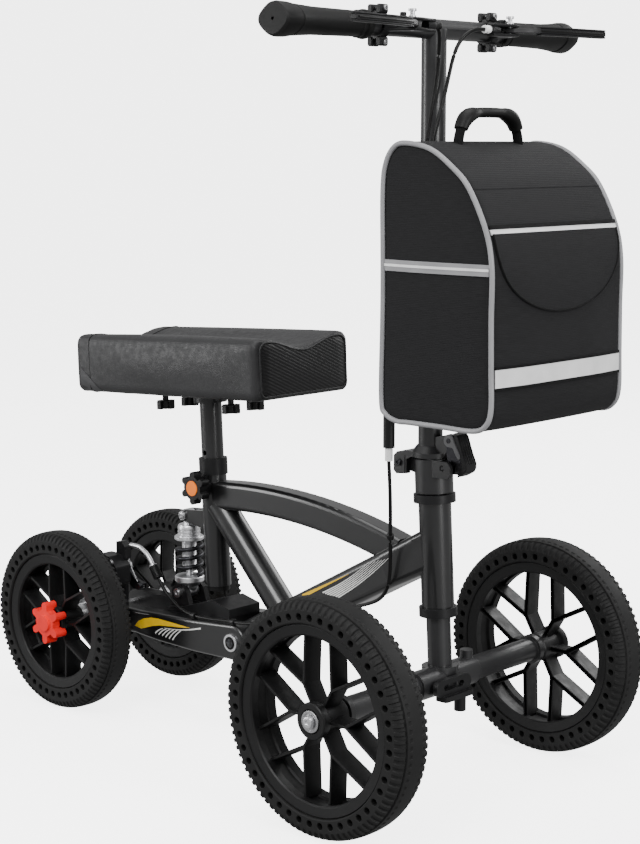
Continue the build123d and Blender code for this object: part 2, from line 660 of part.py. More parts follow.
with BuildPart() as front_link:
    with BuildSketch(Plane.YZ.offset(FRONT_X + 25)):
        with Locations((-14, FRONT_R)):
            SlotOverall(70, 22)
            SlotOverall(40, 8, mode=Mode.SUBTRACT)
    extrude(amount=7)
    with BuildSketch(Plane.XY.offset(FRONT_R - 18)):
        with Locations((FRONT_X + 28, -8)):
            RectangleRounded(20, 58, 5)
    extrude(amount=7)
    with BuildSketch(Plane.XY.offset(FRONT_R - 37)):
        with Locations((FRONT_X + 29, 2)):
            Circle(7.8)
            Circle(4, mode=Mode.SUBTRACT)
    extrude(amount=20)
    with BuildSketch(side_plane(60)):
        with Locations((FRONT_X, FRONT_R)):
            Circle(19.5)
    extrude(amount=120, mode=Mode.SUBTRACT)
    with BuildSketch(HEAD_PLANE.offset(-14)):
        Circle(24)
    extrude(amount=32, mode=Mode.SUBTRACT)
keep(front_link.part, "front_link")

# ---- stem and handlebar ------------------------------------------------------------------------
FOOT_Z, FOOT_THICK = 442.3, 7.0          # the stem's foot plate on the cup
STEM_PLANE = Plane(origin=(STEM_X, 0, 0), x_dir=(1, 0, 0), z_dir=(0, 0, 1))
with BuildPart() as stem_tube:
    add(axial_tube(STEM_PLANE, FOOT_Z, BAR_Z, STEM_R, STEM_R - STEM_WALL))
    with BuildSketch(Plane.XY.offset(FOOT_Z)):
        with Locations((279.5, 0)):
            Circle(25)
        with Locations((258, 0)):
            Rectangle(20, 40)
    extrude(amount=FOOT_THICK)
    with BuildSketch(STEM_PLANE.offset(FOOT_Z + FOOT_THICK)):
        Circle(23.5)
    with BuildSketch(STEM_PLANE.offset(FOOT_Z + FOOT_THICK + 8)):
        Circle(STEM_R + 1.5)
    loft()
    with BuildSketch(side_plane(20)):
        with BuildLine():
            Polyline((231, 421), (231, 441), (237, 446.5), (262, FOOT_Z + FOOT_THICK), (262, FOOT_Z),
                     (253, 438), (253, 419), (236, 417), close=True)
        make_face()
    extrude(amount=40)
    with BuildSketch(side_plane(12)):
        with Locations((245, FOOT_Z - 18)):
            Rectangle(50, 36)
    extrude(amount=24, mode=Mode.SUBTRACT)
    with BuildSketch(side_plane(21)):
        with Locations(FOLD_PIN):
            Circle(4)
    extrude(amount=42, mode=Mode.SUBTRACT)
    # latch ears in front of the foot
    for y_top in (8.5, -5.0):
        with BuildSketch(side_plane(y_top)):
            with BuildLine():
                Polyline((292, FOOT_Z), (292, 470), (LATCH_PIN[0] - 5, 475))
                ThreePointArc((LATCH_PIN[0] - 5, 475), (LATCH_PIN[0] + 8, 468), (LATCH_PIN[0] - 2, 460))
                Polyline((LATCH_PIN[0] - 2, 460), (304, FOOT_Z), (292, FOOT_Z))
            make_face()
            with Locations(LATCH_PIN):
                Circle(2.5, mode=Mode.SUBTRACT)
        extrude(amount=3.5)
    with BuildSketch(Plane.XY.offset(FOOT_Z)):
        with Locations((STEM_X, 0)):
            Circle(STEM_R - STEM_WALL)
    extrude(amount=60, mode=Mode.SUBTRACT)
    with BuildSketch(side_plane(30)):
        with Locations((STEM_X, BAR_Z)):
            Circle(BAR_R)
    extrude(amount=60, mode=Mode.SUBTRACT)
keep(stem_tube.part, "stem_tube")

keep(Compound(children=[cross_tube(*FOLD_PIN, -21, 21, 4), cross_tube(*LATCH_PIN, -12.5, 12.5, 2.5)]),
     "hinge_pins")
keep(cross_tube(STEM_X, BAR_Z, -BAR_HALF + 6, BAR_HALF - 6, BAR_R, BAR_R - 2.2), "handlebar")

grips = []
for side in (RIGHT, LEFT):
    with BuildPart() as grip:
        for along, back, rx, rz in ((GRIP_IN, 0, 18, 18), (GRIP_IN + 12, 0, 16.5, 16.5),
                                    (215, 1, 20, 18), (258, 6, 27, 19.5), (BAR_HALF, 6, 25, 20)):
            with BuildSketch(Plane(origin=(STEM_X - back, side * along, BAR_Z), x_dir=(1, 0, 0),
                                   z_dir=(0, side, 0))):
                Ellipse(rx, rz)
        loft()
        with BuildSketch(Plane(origin=(STEM_X, side * GRIP_IN, BAR_Z), z_dir=(0, side, 0))):
            Circle(BAR_R)
        extrude(amount=BAR_HALF - 6 - GRIP_IN, mode=Mode.SUBTRACT)
    grips.append(grip.part)
keep(Compound(children=grips), "grips")

LEVER_X, LEVER_Y = 322.0, 95.0            # the lever's pivot
CLAMP_Y, EXIT_Y = 106.0, 54.0
BUTTON_X, BUTTON_Y = 309.0, 97.0
brackets, lever_bolts = [], []
for side, hand in ((RIGHT, "right"), (LEFT, "left")):
    with BuildPart() as bracket:
        add(cross_tube(STEM_X, BAR_Z, side * (CLAMP_Y - 7), side * (CLAMP_Y + 7), BAR_R + 4))
        for up in (-1, 1):
            with BuildSketch(Plane.XY.offset(BAR_Z + up * 19 - 6)):
                with Locations((STEM_X, side * CLAMP_Y)):
                    RectangleRounded(22, 15, 3)
            extrude(amount=12)
            with BuildSketch(Plane.XY.offset(BAR_Z + up * 19 - 8)):
                with Locations((STEM_X, side * CLAMP_Y)):
                    Rectangle(3, 20)
            extrude(amount=16, mode=Mode.SUBTRACT)
        with BuildSketch(Plane.XY.offset(BAR_Z - 8)):
            with BuildLine():
                Polyline((286, side * 99), (286, side * 113), (316, side * 108), (333, side * 99),
                         (333, side * 88), (328, side * EXIT_Y), (314, side * EXIT_Y),
                         (310, side * 84), close=True)
            make_face()
        extrude(amount=16)
        with BuildSketch(Plane.XY.offset(BAR_Z - 4)):
            with Locations((330, side * 100)):
                Rectangle(40, 58)
        extrude(amount=8, mode=Mode.SUBTRACT)
        with BuildSketch(side_plane(side * CLAMP_Y + 12)):
            with Locations((STEM_X, BAR_Z)):
                Circle(BAR_R)
        extrude(amount=24, mode=Mode.SUBTRACT)
        with BuildSketch(Plane.XY.offset(BAR_Z - 9)):
            with Locations((LEVER_X, side * LEVER_Y)):
                Circle(2.5)
        extrude(amount=18, mode=Mode.SUBTRACT)
        with BuildSketch(Plane.XY.offset(BAR_Z + 2)):
            with Locations((BUTTON_X, side * BUTTON_Y)):
                Circle(4.3)
        extrude(amount=7, mode=Mode.SUBTRACT)
    brackets.append(bracket.part)

    with BuildPart() as bolt:
        with BuildSketch(Plane.XY.offset(BAR_Z - 8)):
            with Locations((LEVER_X, side * LEVER_Y)):
                Circle(2.5)
        extrude(amount=16)
        for low, high, radius in ((8, 10, 4.5), (10, 15, 3.0), (15, 18, 5.0)):
            with BuildSketch(Plane.XY.offset(BAR_Z + low)):
                with Locations((LEVER_X, side * LEVER_Y)):
                    Circle(radius)
            extrude(amount=high - low)
    lever_bolts.append(bolt.part)

    with BuildPart() as lever:
        with BuildSketch(Plane.XY.offset(BAR_Z - 5.5)):
            with BuildLine():
                Spline((316, side * 100), (336, side * 124), (347, side * 161), (353.5, side * 206),
                       (357.5, side * 243))
                Line((357.5, side * 243), (365.5, side * 243))
                Spline((365.5, side * 243), (362, side * 204), (356.5, side * 159),
                       (347.5, side * 120), (328, side * 90))
                Line((328, side * 90), (316, side * 100))
            make_face()
            with Locations((LEVER_X, side * LEVER_Y)):
                Circle(8)
                Circle(2.5 + RUNNING_GAP, mode=Mode.SUBTRACT)
        extrude(amount=11)
        for low in (-6, 3.6):
            with BuildSketch(Plane.XY.offset(BAR_Z + low)):
                with Locations((322, side * 100)):
                    Rectangle(50, 44)
            extrude(amount=2.4, mode=Mode.SUBTRACT)
    keep(lever.part, f"brake_lever_{hand}")

    with BuildPart() as button:
        with BuildSketch(Plane.XY.offset(BAR_Z + 4.8)):
            with Locations((BUTTON_X, side * BUTTON_Y)):
                Circle(4)
        extrude(amount=9.7)
        fillet(button.edges().group_by(Axis.Z)[-1], 1)
    keep(button.part, f"park_button_{hand}")
keep(Compound(children=brackets), "lever_brackets")
keep(Compound(children=lever_bolts), "lever_bolts")

# ---- latch -----------------------------------------------------------------------------------
with BuildPart() as latch_lever:
    for y_top in (12.0, -9.0):
        with BuildSketch(side_plane(y_top)):
            with BuildLine():
                Polyline((LATCH_PIN[0] - 2, 460), (LINK_PIN[0] - 5, 441), (LINK_PIN[0] + 4, 436),
                         (338, 441), (327, 476), (LATCH_PIN[0], 476), close=True)
            make_face()
            with Locations(LATCH_PIN):
                Circle(8)
                Circle(2.5 + RUNNING_GAP, mode=Mode.SUBTRACT)
            with Locations(LINK_PIN):
                Circle(2.0, mode=Mode.SUBTRACT)
        extrude(amount=3)
    # curved thumb blade between the plates
    with BuildSketch(side_plane(11)):
        with BuildLine():
            Spline((325.5, 477.5), (331.5, 474), (338, 455), (345.2, 440), (342.5, 428.5))
            Polyline((342.5, 428.5), (334.5, 424.3), (328.9, 421.5), (332, 431), (336, 441),
                     (332.5, 454), (327.2, 469), (325.5, 477.5))
        make_face()
    extrude(amount=22)
keep(latch_lever.part, "latch_lever")

with BuildPart() as latch_link:
    with BuildSketch(side_plane(7)):
        with BuildLine():
            Polyline((313.2, 426), (313.4, 443), (319, 446), (325, 441), (324, 428), (320, 424),
                     close=True)
        make_face()
    extrude(amount=14)
    with BuildSketch(side_plane(12.3)):
        with Locations(LINK_PIN):
            Circle(2.0 - RUNNING_GAP)
    extrude(amount=24.6)
keep(latch_link.part, "latch_link")

# ---- bag -------------------------------------------------------------------------------------
BAG_HALF, BAG_BACK, BAG_FRONT, BAG_LOW, BAG_HIGH = 131.4, 304.5, 478.0, 505.0, 846.0
with BuildPart() as bag:
    with BuildSketch(side_plane(BAG_HALF)):
        with BuildLine():
            Line((BAG_BACK, BAG_LOW + 25), (BAG_BACK, 812))
            Spline((BAG_BACK, 812), (326, 842.7), (342, BAG_HIGH))
            Spline((342, BAG_HIGH), (380.4, 839.3), (441, 794), (468, 744.4), (BAG_FRONT, 700))
            Line((BAG_FRONT, 700), (BAG_FRONT, BAG_LOW + 28))
            ThreePointArc((BAG_FRONT, BAG_LOW + 28), (BAG_FRONT - 8.2, BAG_LOW + 8.2),
                          (BAG_FRONT - 28, BAG_LOW))
            Line((BAG_FRONT - 28, BAG_LOW), (BAG_BACK + 25, BAG_LOW))
            ThreePointArc((BAG_BACK + 25, BAG_LOW), (BAG_BACK + 7.3, BAG_LOW + 7.3),
                          (BAG_BACK, BAG_LOW + 25))
        make_face()
    extrude(amount=2 * BAG_HALF)
keep(bag.part, "bag")

HANDLE_X, HANDLE_TOP, HANDLE_HALF = 365.0, 884.0, 53.0
with BuildPart() as bag_handle:
    with BuildSketch(Plane.YZ.offset(HANDLE_X - 10)):
        with BuildLine():
            Polyline((-HANDLE_HALF - 4, 844), (-HANDLE_HALF, 868), (-38, HANDLE_TOP), (38, HANDLE_TOP),
                     (HANDLE_HALF, 868), (HANDLE_HALF + 4, 844), (HANDLE_HALF - 8, 844),
                     (HANDLE_HALF - 12, 864), (32, 872), (-32, 872), (-HANDLE_HALF + 12, 864),
                     (-HANDLE_HALF + 8, 844), close=True)
        make_face()
    extrude(amount=20)
    add(bag.part, mode=Mode.SUBTRACT)
keep(bag_handle.part, "bag_handle")

# ---- brake cables --------------------------------------------------------------------------------
JOINER = (271.0, -75.0)                   # x, y of the two-into-one joiner
JOINER_LOW, JOINER_HIGH = 462.0, 528.0
right_cable = [(321, -EXIT_Y, BAR_Z), (320.5, -44, 981), (316, -37, 969), (309, -30, 950),
               (303, -26, 920), (298.5, -30, 884), (296, -37, 840), (294, -48, 790), (290, -58, 735),
               (284, -66, 678), (276, -71, 620), (270, -74, 565), (268, -75, JOINER_HIGH)]
left_cable = [(321, EXIT_Y, BAR_Z), (321, 38, BAR_Z), (320, 22, 981), (316, 9, 973), (312, 1, 960),
              (308.5, -3, 944), (305.5, -6, 924), (303, -11, 900), (301.5, -22, 868), (300.5, -36, 826),
              (299, -49, 778), (295, -60, 722), (289, -69, 664), (281, -75, 608), (275.5, -76, 560),
              (274, -75, JOINER_HIGH)]
keep(Compound(children=[cord(right_cable, CABLE_D), cord(left_cable, CABLE_D)]), "lever_cables")

JOINER_PLANE = Plane(origin=(*JOINER, 0), z_dir=(0, 0, 1))
keep(axial_tube(JOINER_PLANE, JOINER_LOW, JOINER_HIGH, 7.5), "cable_joiner")
FERRULE_LOW = 445.0
keep(axial_tube(JOINER_PLANE, FERRULE_LOW, JOINER_LOW, 5.0), "cable_ferrules")

frame_cable = [(JOINER[0], JOINER[1], FERRULE_LOW - 1), (271.5, -73.5, 418), (265.5, -65.5, 392),
               (254.5, -52.5, 365), (245, -41.5, 338), (239.5, -35, 308), (237.5, -33.5, 282),
               (232, -33.5, 261), (218, -33.5, 246), (194, -34, 236), (158, -35, 224), (118, -37, 211),
               (78, -41, 199), (40, -47, 188), (6, -51, 179), (-22, -52.5, 174)]
keep(cord(frame_cable, CABLE_D), "frame_cable")
rear_cable = [(-28, -52.5, 173.8), (-52, -52, 172), (-82, -51, 168.5), (-112, -50, 166), (-136, -50, 167),
              (-158, -50, 173.5), (-176, -50, 184), (-190, -50, 196), (-200, -50, 210)]
keep(cord(rear_cable, CABLE_D), "rear_cable")

with BuildPart() as brake_noodle:
    bend = cord_wire([(-200.5, -50, 210.6), (-210, -50, 224), (-222, -50, 240), (-240, -50, 250.5),
                      (-261.5, -50, 250)])[0]
    with BuildSketch(Plane(origin=bend @ 0, z_dir=bend % 0)) as pipe_end:
        Circle(3.4)
    sweep(path=bend)
    with BuildSketch(pipe_end.workplanes[0]):
        Circle(6)
    extrude(amount=20)
keep(brake_noodle.part, "brake_noodle")

# ---- drag knob on the right rear wheel -----------------------------------------------------------
KNOB_FACE, KNOB_SHOULDER, PRONG_END = -REAR_HUB_OUT - 14, -REAR_HUB_OUT - 1, -REAR_HUB_OUT + 5.5
with BuildPart() as drag_knob:
    with BuildSketch(axis_plane(REAR_X, KNOB_SHOULDER, REAR_R)):
        star_profile(6, 20, 5.5, 26.0)
    extrude(amount=KNOB_SHOULDER - KNOB_FACE)
    with BuildSketch(axis_plane(REAR_X, PRONG_END, REAR_R)):
        star_profile(6, 20, 5.5, 26.0)
        Circle(20.5, mode=Mode.SUBTRACT)
    extrude(amount=PRONG_END - KNOB_SHOULDER)
    with BuildSketch(axis_plane(REAR_X, KNOB_FACE, REAR_R)):
        Circle(12)
    extrude(amount=3)
    with BuildSketch(axis_plane(REAR_X, KNOB_SHOULDER, REAR_R)):
        Circle(AXLE_R + RUNNING_GAP)
    extrude(amount=9, mode=Mode.SUBTRACT)
keep(drag_knob.part, "drag_knob")
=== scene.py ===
from math import atan2, cos, hypot, pi, radians, sin, tau

import bmesh
import bpy
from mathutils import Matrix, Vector
from mathutils.bvhtree import BVHTree


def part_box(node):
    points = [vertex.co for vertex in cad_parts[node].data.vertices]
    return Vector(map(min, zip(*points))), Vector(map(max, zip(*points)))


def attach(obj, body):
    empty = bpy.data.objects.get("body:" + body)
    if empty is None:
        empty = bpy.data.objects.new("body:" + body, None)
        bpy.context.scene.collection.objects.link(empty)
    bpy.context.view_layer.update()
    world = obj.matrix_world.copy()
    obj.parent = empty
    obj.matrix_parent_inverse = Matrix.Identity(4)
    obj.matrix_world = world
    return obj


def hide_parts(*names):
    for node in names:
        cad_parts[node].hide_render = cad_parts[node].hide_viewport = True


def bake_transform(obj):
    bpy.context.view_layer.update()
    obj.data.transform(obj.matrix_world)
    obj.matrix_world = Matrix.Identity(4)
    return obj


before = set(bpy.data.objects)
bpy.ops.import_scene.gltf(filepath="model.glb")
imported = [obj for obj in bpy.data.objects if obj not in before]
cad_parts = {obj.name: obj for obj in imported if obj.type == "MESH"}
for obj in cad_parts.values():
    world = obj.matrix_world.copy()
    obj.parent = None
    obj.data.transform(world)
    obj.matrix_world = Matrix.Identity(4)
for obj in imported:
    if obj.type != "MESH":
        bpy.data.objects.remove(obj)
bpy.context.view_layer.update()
MM = 0.001
RIGHT, LEFT = -1, 1
HANDS = ((RIGHT, "right"), (LEFT, "left"))


def linked(thing):
    """The object, once it is in the scene."""
    bpy.context.scene.collection.objects.link(thing)
    return thing


# ---- camera, lights and floor ---------------------------------------------------------------
def make_camera():
    eye, target = Vector((1.7634, -1.7775, 0.8432)), Vector((0.080, 0.0, 0.466))
    camera = bpy.data.objects.new("camera", bpy.data.cameras.new("camera"))
    camera.data.lens = 77.4
    camera.data.sensor_width = 36.0
    camera.location = eye
    camera.rotation_mode = "QUATERNION"
    camera.rotation_quaternion = (target - eye).to_track_quat("-Z", "Y")
    bpy.context.scene.camera = linked(camera)


def area_light(name, place, target, size, power):
    light = linked(bpy.data.objects.new(name, bpy.data.lights.new(name, "AREA")))
    light.data.shape = "RECTANGLE"
    light.data.size, light.data.size_y = size
    light.data.energy = power
    light.location = place
    light.rotation_mode = "QUATERNION"
    light.rotation_quaternion = (Vector(target) - Vector(place)).to_track_quat("-Z", "Y")


def make_lights():
    area_light("key", (0.9, -2.6, 2.6), (0.1, 0, 0.4), (1.6, 1.2), 70)
    area_light("front_strip", (2.9, -0.3, 1.3), (0.1, 0, 0.5), (0.7, 2.2), 55)
    area_light("rear_strip", (-2.4, -2.2, 1.2), (0, 0, 0.5), (0.7, 2.2), 50)
    area_light("far_side", (0.4, 3.0, 1.8), (0, 0, 0.4), (2.2, 1.4), 45)
    area_light("overhead", (0, 0, 3.2), (0, 0, 0.4), (2.6, 2.6), 60)
    world = bpy.data.worlds.new("studio")
    bpy.context.scene.world = world
    world.use_nodes = True
    tree = world.node_tree
    background = tree.nodes["Background"]
    background.inputs["Color"].default_value = (1, 1, 1, 1)
    background.inputs["Strength"].default_value = 0.5
    # seen directly, the studio's backdrop is white
    backdrop = tree.nodes.new("ShaderNodeBackground")
    backdrop.inputs["Strength"].default_value = 5.6
    path, choose = tree.nodes.new("ShaderNodeLightPath"), tree.nodes.new("ShaderNodeMixShader")
    tree.links.new(path.outputs["Is Camera Ray"], choose.inputs[0])
    tree.links.new(background.outputs[0], choose.inputs[1])
    tree.links.new(backdrop.outputs[0], choose.inputs[2])
    tree.links.new(choose.outputs[0], tree.nodes["World Output"].inputs["Surface"])


FLOOR_DROP = -0.0006                      # just under the tyres, in metres


def make_floor(material):
    """A wide pale floor, level under the tyres."""
    half = 12.0
    mesh = bpy.data.meshes.new("floor")
    corners = [(-half, -half, 0), (half, -half, 0), (half, half, 0), (-half, half, 0)]
    mesh.from_pydata(corners, [], [(0, 1, 2, 3)])
    floor = linked(bpy.data.objects.new("floor", mesh))
    floor.location.z = FLOOR_DROP
    mesh.materials.append(material)
    # the floor lights nothing by bouncing, so that black parts stay black
    floor.visible_diffuse = False
    floor.visible_glossy = False


# ---- materials ------------------------------------------------------------------------------
class Shader:
    """A Principled material with helpers for its texture nodes, in object coordinates."""

    def __init__(self, name, rough, metallic=0.0, specular=0.5, coat=0.0, coat_rough=0.08, sheen=0.0):
        self.material = bpy.data.materials.new(name)
        self.material.use_nodes = True
        self.tree = self.material.node_tree
        self.surface = self.tree.nodes["Principled BSDF"]
        self.coords = self.tree.nodes.new("ShaderNodeTexCoord").outputs["Object"]
        self.normal = None
        values = {"Roughness": rough, "Metallic": metallic, "Specular IOR Level": specular,
                  "Coat Weight": coat, "Coat Roughness": coat_rough, "Sheen Weight": sheen}
        for socket, value in values.items():
            self.surface.inputs[socket].default_value = value

    def feed(self, socket, value):
        """Links a node's output to the socket, or sets its value or colour."""
        if isinstance(value, bpy.types.NodeSocket):
            self.tree.links.new(value, socket)
        else:
            socket.default_value = (*value, 1) if socket.type == "RGBA" else value

    def node(self, kind, **inputs):
        made = self.tree.nodes.new(kind)
        for name, value in inputs.items():
            self.feed(made.inputs[name.replace("_", " ")], value)
        return made

    def stretch(self, scale):
        """The coordinates, scaled."""
        return self.node("ShaderNodeMapping", Vector=self.coords, Scale=scale).outputs["Vector"]

    def noise(self, scale, detail=3.0, vector=None):
        made = self.node("ShaderNodeTexNoise", Vector=vector or self.coords, Scale=scale, Detail=detail)
        return made.outputs["Fac"]

    def spread(self, value, low, high, from_low=0.3, from_high=0.7):
        """value, rescaled from its usual range to low..high."""
        made = self.node("ShaderNodeMapRange", Value=value, From_Min=from_low, From_Max=from_high,
                         To_Min=low, To_Max=high)
        return made.outputs["Result"]

    def mix(self, factor, first, second):
        """Two colours mixed by a factor."""
        made = self.tree.nodes.new("ShaderNodeMix")
        made.data_type = "RGBA"
        for i, value in ((0, factor), (6, first), (7, second)):
            self.feed(made.inputs[i], value)
        return made.outputs[2]

    def clouded(self, cloud, tone, gain):
        """A colour that goes to gain times itself in a texture's patches."""
        return self.mix(self.spread(cloud, 0, 1), tone, tuple(gain * c for c in tone))

    def maths(self, operation, *values):
        made = self.tree.nodes.new("ShaderNodeMath")
        made.operation = operation
        for socket, value in zip(made.inputs, values):
            self.feed(socket, value)
        return made.outputs[0]

    def bump(self, height, depth):
        """Adds relief of about depth millimetres."""
        made = self.node("ShaderNodeBump", Height=height, Strength=1.0, Distance=depth * MM)
        if self.normal:
            self.feed(made.inputs["Normal"], self.normal)
        self.normal = made.outputs["Normal"]

    def round_edges(self, radius):
        """Edges of hard parts are slightly rounded."""
        made = self.node("ShaderNodeBevel", Radius=radius * MM)
        made.samples = 4
        self.normal = made.outputs["Normal"]

    def finish(self, colour, rough=None):
        for socket, value in (("Base Color", colour), ("Roughness", rough), ("Normal", self.normal)):
            if value:
                self.feed(self.surface.inputs[socket], value)
        return self.material


def grey(value, blue=1.06):
    return (value, value, value * blue)


def paint(name, tone, rough, coat):
    """Sprayed paint: orange peel, faint dust and a clear coat."""
    s = Shader(name, rough, specular=0.45, coat=coat, coat_rough=0.16)
    s.round_edges(0.8)
    s.bump(s.noise(700.0, 2.0), 0.006)
    colour = s.clouded(s.noise(18.0, 5.0), grey(tone), 1.5)
    return s.finish(colour, s.spread(s.noise(60.0, 6.0), rough * 0.92, rough * 1.1))


def moulded(name, tone, rough=0.5, grain=0.05):
    """Moulded plastic or die-cast black metal with a fine spark-eroded grain."""
    s = Shader(name, rough, specular=0.3)
    s.round_edges(0.6)
    s.bump(s.noise(1400.0, 3.0), grain)
    colour = s.clouded(s.noise(30.0, 4.0), tone, 1.35)
    return s.finish(colour, s.spread(s.noise(80.0, 5.0), rough * 0.85, rough * 1.2))


def metal(name, tone, rough):
    """Bare or plated metal with fine turning or brushing marks."""
    s = Shader(name, rough, metallic=1.0)
    s.round_edges(0.4)
    marks = s.noise(1.0, 4.0, s.stretch((40, 1400, 1400)))
    s.bump(marks, 0.015)
    colour = s.clouded(s.noise(45.0, 5.0), tone, 0.78)
    return s.finish(colour, s.spread(marks, rough * 0.75, rough * 1.35))


def rubber(name, tone, rough=0.62, dust=1.7):
    """Vulcanised rubber: fine grain, a dusty bloom in patches."""
    s = Shader(name, rough, specular=0.2)
    s.bump(s.noise(700.0, 4.0), 0.07)
    bloom = s.noise(22.0, 6.0)
    return s.finish(s.clouded(bloom, grey(tone, 1.0), dust), s.spread(bloom, rough * 0.85, rough * 1.15))


def woven(name, tone, pitch, rib, depth):
    """Woven polyester: crossed threads over the surface, the weft rib times as wide as the warp. Its colour
    varies with the yarn's slub and darkens between the threads as painted shade.
    """
    s = Shader(name, 0.78, specular=0.12, sheen=0.02)
    s.surface.inputs["Sheen Roughness"].default_value = 0.5
    axes = s.node("ShaderNodeSeparateXYZ", Vector=s.coords).outputs
    across = s.maths("ADD", axes[0], axes[1])
    warp = s.maths("SINE", s.maths("MULTIPLY", across, tau / (pitch * MM)))
    weft = s.maths("SINE", s.maths("MULTIPLY", axes[2], tau / (pitch * MM * rib)))
    cloth = s.maths("MULTIPLY", warp, weft)
    threads = s.maths("ADD", s.maths("MULTIPLY", cloth, 0.5), s.maths("MULTIPLY", weft, 0.35))
    s.bump(threads, depth)
    slub = s.noise(1.0, 4.0, s.stretch((60, 60, 900)))
    # yarn slub and painted shade: the colour is darker where the threads' relief is low
    slub_and_thread_shade = s.maths("ADD", s.maths("MULTIPLY", threads, 0.25), s.spread(slub, -0.25, 0.35))
    factor = s.spread(s.maths("ADD", slub_and_thread_shade, 0.5), 0, 1, 0, 1)
    colour = s.mix(factor, tuple(0.55 * c for c in tone), tuple(1.6 * c for c in tone))
    return s.finish(colour, s.spread(slub, 0.7, 0.88))


def leather(name, tone):
    """Coated leather-look cover with a fine pebble grain."""
    s = Shader(name, 0.48, specular=0.4)
    cells = s.node("ShaderNodeTexVoronoi", Vector=s.coords, Scale=900.0)
    s.bump(cells.outputs["Distance"], 0.09)
    s.bump(s.noise(160.0, 4.0), 0.08)
    colour = s.clouded(s.noise(14.0, 5.0), grey(tone), 1.45)
    return s.finish(colour, s.spread(s.noise(120.0, 4.0), 0.4, 0.58))


def ribbed_leather(name, tone):
    """The pad's end panel: fine diagonal ribs, with painted shade in their troughs and painted highlight on
    their crests.
    """
    s = Shader(name, 0.5, specular=0.4)
    ribs = s.node("ShaderNodeTexWave", Vector=s.stretch((0, 1, 2.2)), Scale=60.0, Distortion=0.3)
    ribs.bands_direction = "DIAGONAL"
    s.bump(ribs.outputs["Fac"], 0.25)
    # the colour follows the ribs' relief: painted shade in the troughs, painted highlight on the crests
    return s.finish(s.mix(ribs.outputs["Fac"], grey(tone * 0.75), grey(tone * 1.5)))


def reflective(name, tone, rough=0.35):
    """Reflective tape: pale, with a fine embossed lattice."""
    s = Shader(name, rough, specular=0.6)
    lattice = s.node("ShaderNodeTexVoronoi", Vector=s.coords, Scale=700.0)
    s.bump(lattice.outputs["Distance"], 0.05)
    dirt = s.noise(35.0, 5.0)
    return s.finish(s.clouded(dirt, tone, 0.86), s.spread(dirt, rough * 0.8, rough * 1.3))


def decal(name, tone):
    """A thin printed film."""
    s = Shader(name, 0.3, coat=0.4)
    wear = s.noise(90.0, 6.0)
    return s.finish(s.clouded(wear, tone, 0.88), s.spread(wear, 0.25, 0.4))


def pale_floor():
    """The studio's floor, which glows a little so that it blends into the backdrop."""
    s = Shader("studio_floor", 0.9, specular=0.1)
    s.feed(s.surface.inputs["Emission Color"], (1, 1, 1))
    s.feed(s.surface.inputs["Emission Strength"], 4.0)
    return s.finish(s.mix(s.noise(3.0, 2.0), (0.93, 0.93, 0.93), (0.95, 0.95, 0.95)))


PAINT = paint("frame_paint", 0.005, 0.34, 0.6)
SATIN = paint("satin_paint", 0.010, 0.40, 0.3)
CAST = moulded("cast_black", (0.006, 0.006, 0.0065), 0.4)
NYLON = moulded("rim_nylon", (0.005, 0.005, 0.0052), 0.45, 0.06)
LIGHT_CAST = moulded("grey_cast", (0.11, 0.11, 0.113), 0.42)
BLACK_PLASTIC = moulded("black_plastic", (0.005, 0.005, 0.0052), 0.38)
WHITE_PLASTIC = moulded("white_plastic", (0.82, 0.82, 0.82), 0.35)
RED_PLASTIC = moulded("red_plastic", (0.80, 0.018, 0.014), 0.35, 0.03)
ORANGE_PLASTIC = moulded("orange_plastic", (0.92, 0.20, 0.01), 0.4, 0.03)
SILVER = metal("silver_alloy", (0.86, 0.86, 0.88), 0.36)
STEEL = metal("zinc_steel", (0.55, 0.55, 0.56), 0.3)
DARK_STEEL = metal("dark_steel", (0.05, 0.05, 0.055), 0.38)
TYRE = rubber("tyre_rubber", 0.009)
SOFT_RUBBER = rubber("grip_rubber", 0.005, 0.5, 1.4)
JACKET = rubber("cable_jacket", 0.005, 0.35, 1.3)
PAD = leather("pad_leather", 0.014)
PAD_END = ribbed_leather("pad_end_ribs", 0.006)
PAD_PATCH = leather("pad_patch", 0.03)
FABRIC = woven("bag_fabric", grey(0.013), 1.3, 1.6, 0.15)
WEBBING = woven("webbing", grey(0.005), 2.2, 0.5, 0.3)
PIPING = reflective("grey_piping", (0.27, 0.27, 0.28), 0.5)
WHITE_TAPE = reflective("white_tape", (0.84, 0.84, 0.84))
FLOOR = pale_floor()
YELLOW = decal("yellow_decal", (0.92, 0.56, 0.0))
WHITE_DECAL = decal("white_decal", (0.86, 0.86, 0.84))

CAD_LOOKS = {
    PAINT: "lower_beam upper_beam brace_tube seat_tube head_tube swingarm_arms",
    SATIN: "steerer front_axle_beam stem_tube handlebar seat_post",
    CAST: "headset seat_collar front_link latch_lever lever_brackets brake_lever_left brake_lever_right "
          "swingarm_bridge brake_caliper",
    BLACK_PLASTIC: "seat_knob pad_knobs cable_joiner park_button_left park_button_right",
    NYLON: "front_rim_left front_rim_right rear_rim_left rear_rim_right",
    TYRE: "front_tyre_left front_tyre_right rear_tyre_left rear_tyre_right",
    SOFT_RUBBER: "grips bump_stop",
    JACKET: "lever_cables frame_cable rear_cable",
    WHITE_PLASTIC: "cable_ferrules",
    RED_PLASTIC: "drag_knob",
    ORANGE_PLASTIC: "seat_knob_disc",
    SILVER: "pivot_axle shock_body shock_rod brake_noodle lever_bolts",
    STEEL: "shock_bolt_upper shock_bolt_lower front_axle_bolts front_bearings rear_axle rear_bearings "
           "brake_disc",
    DARK_STEEL: "hinge_pins latch_link caliper_arm shock_spring",
    PAD: "knee_pad",
    FABRIC: "bag",
    WEBBING: "bag_handle",
}
for look, names in CAD_LOOKS.items():
    for node in names.split():
        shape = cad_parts[node]
        shape.data.materials.clear()
        shape.data.materials.append(look)


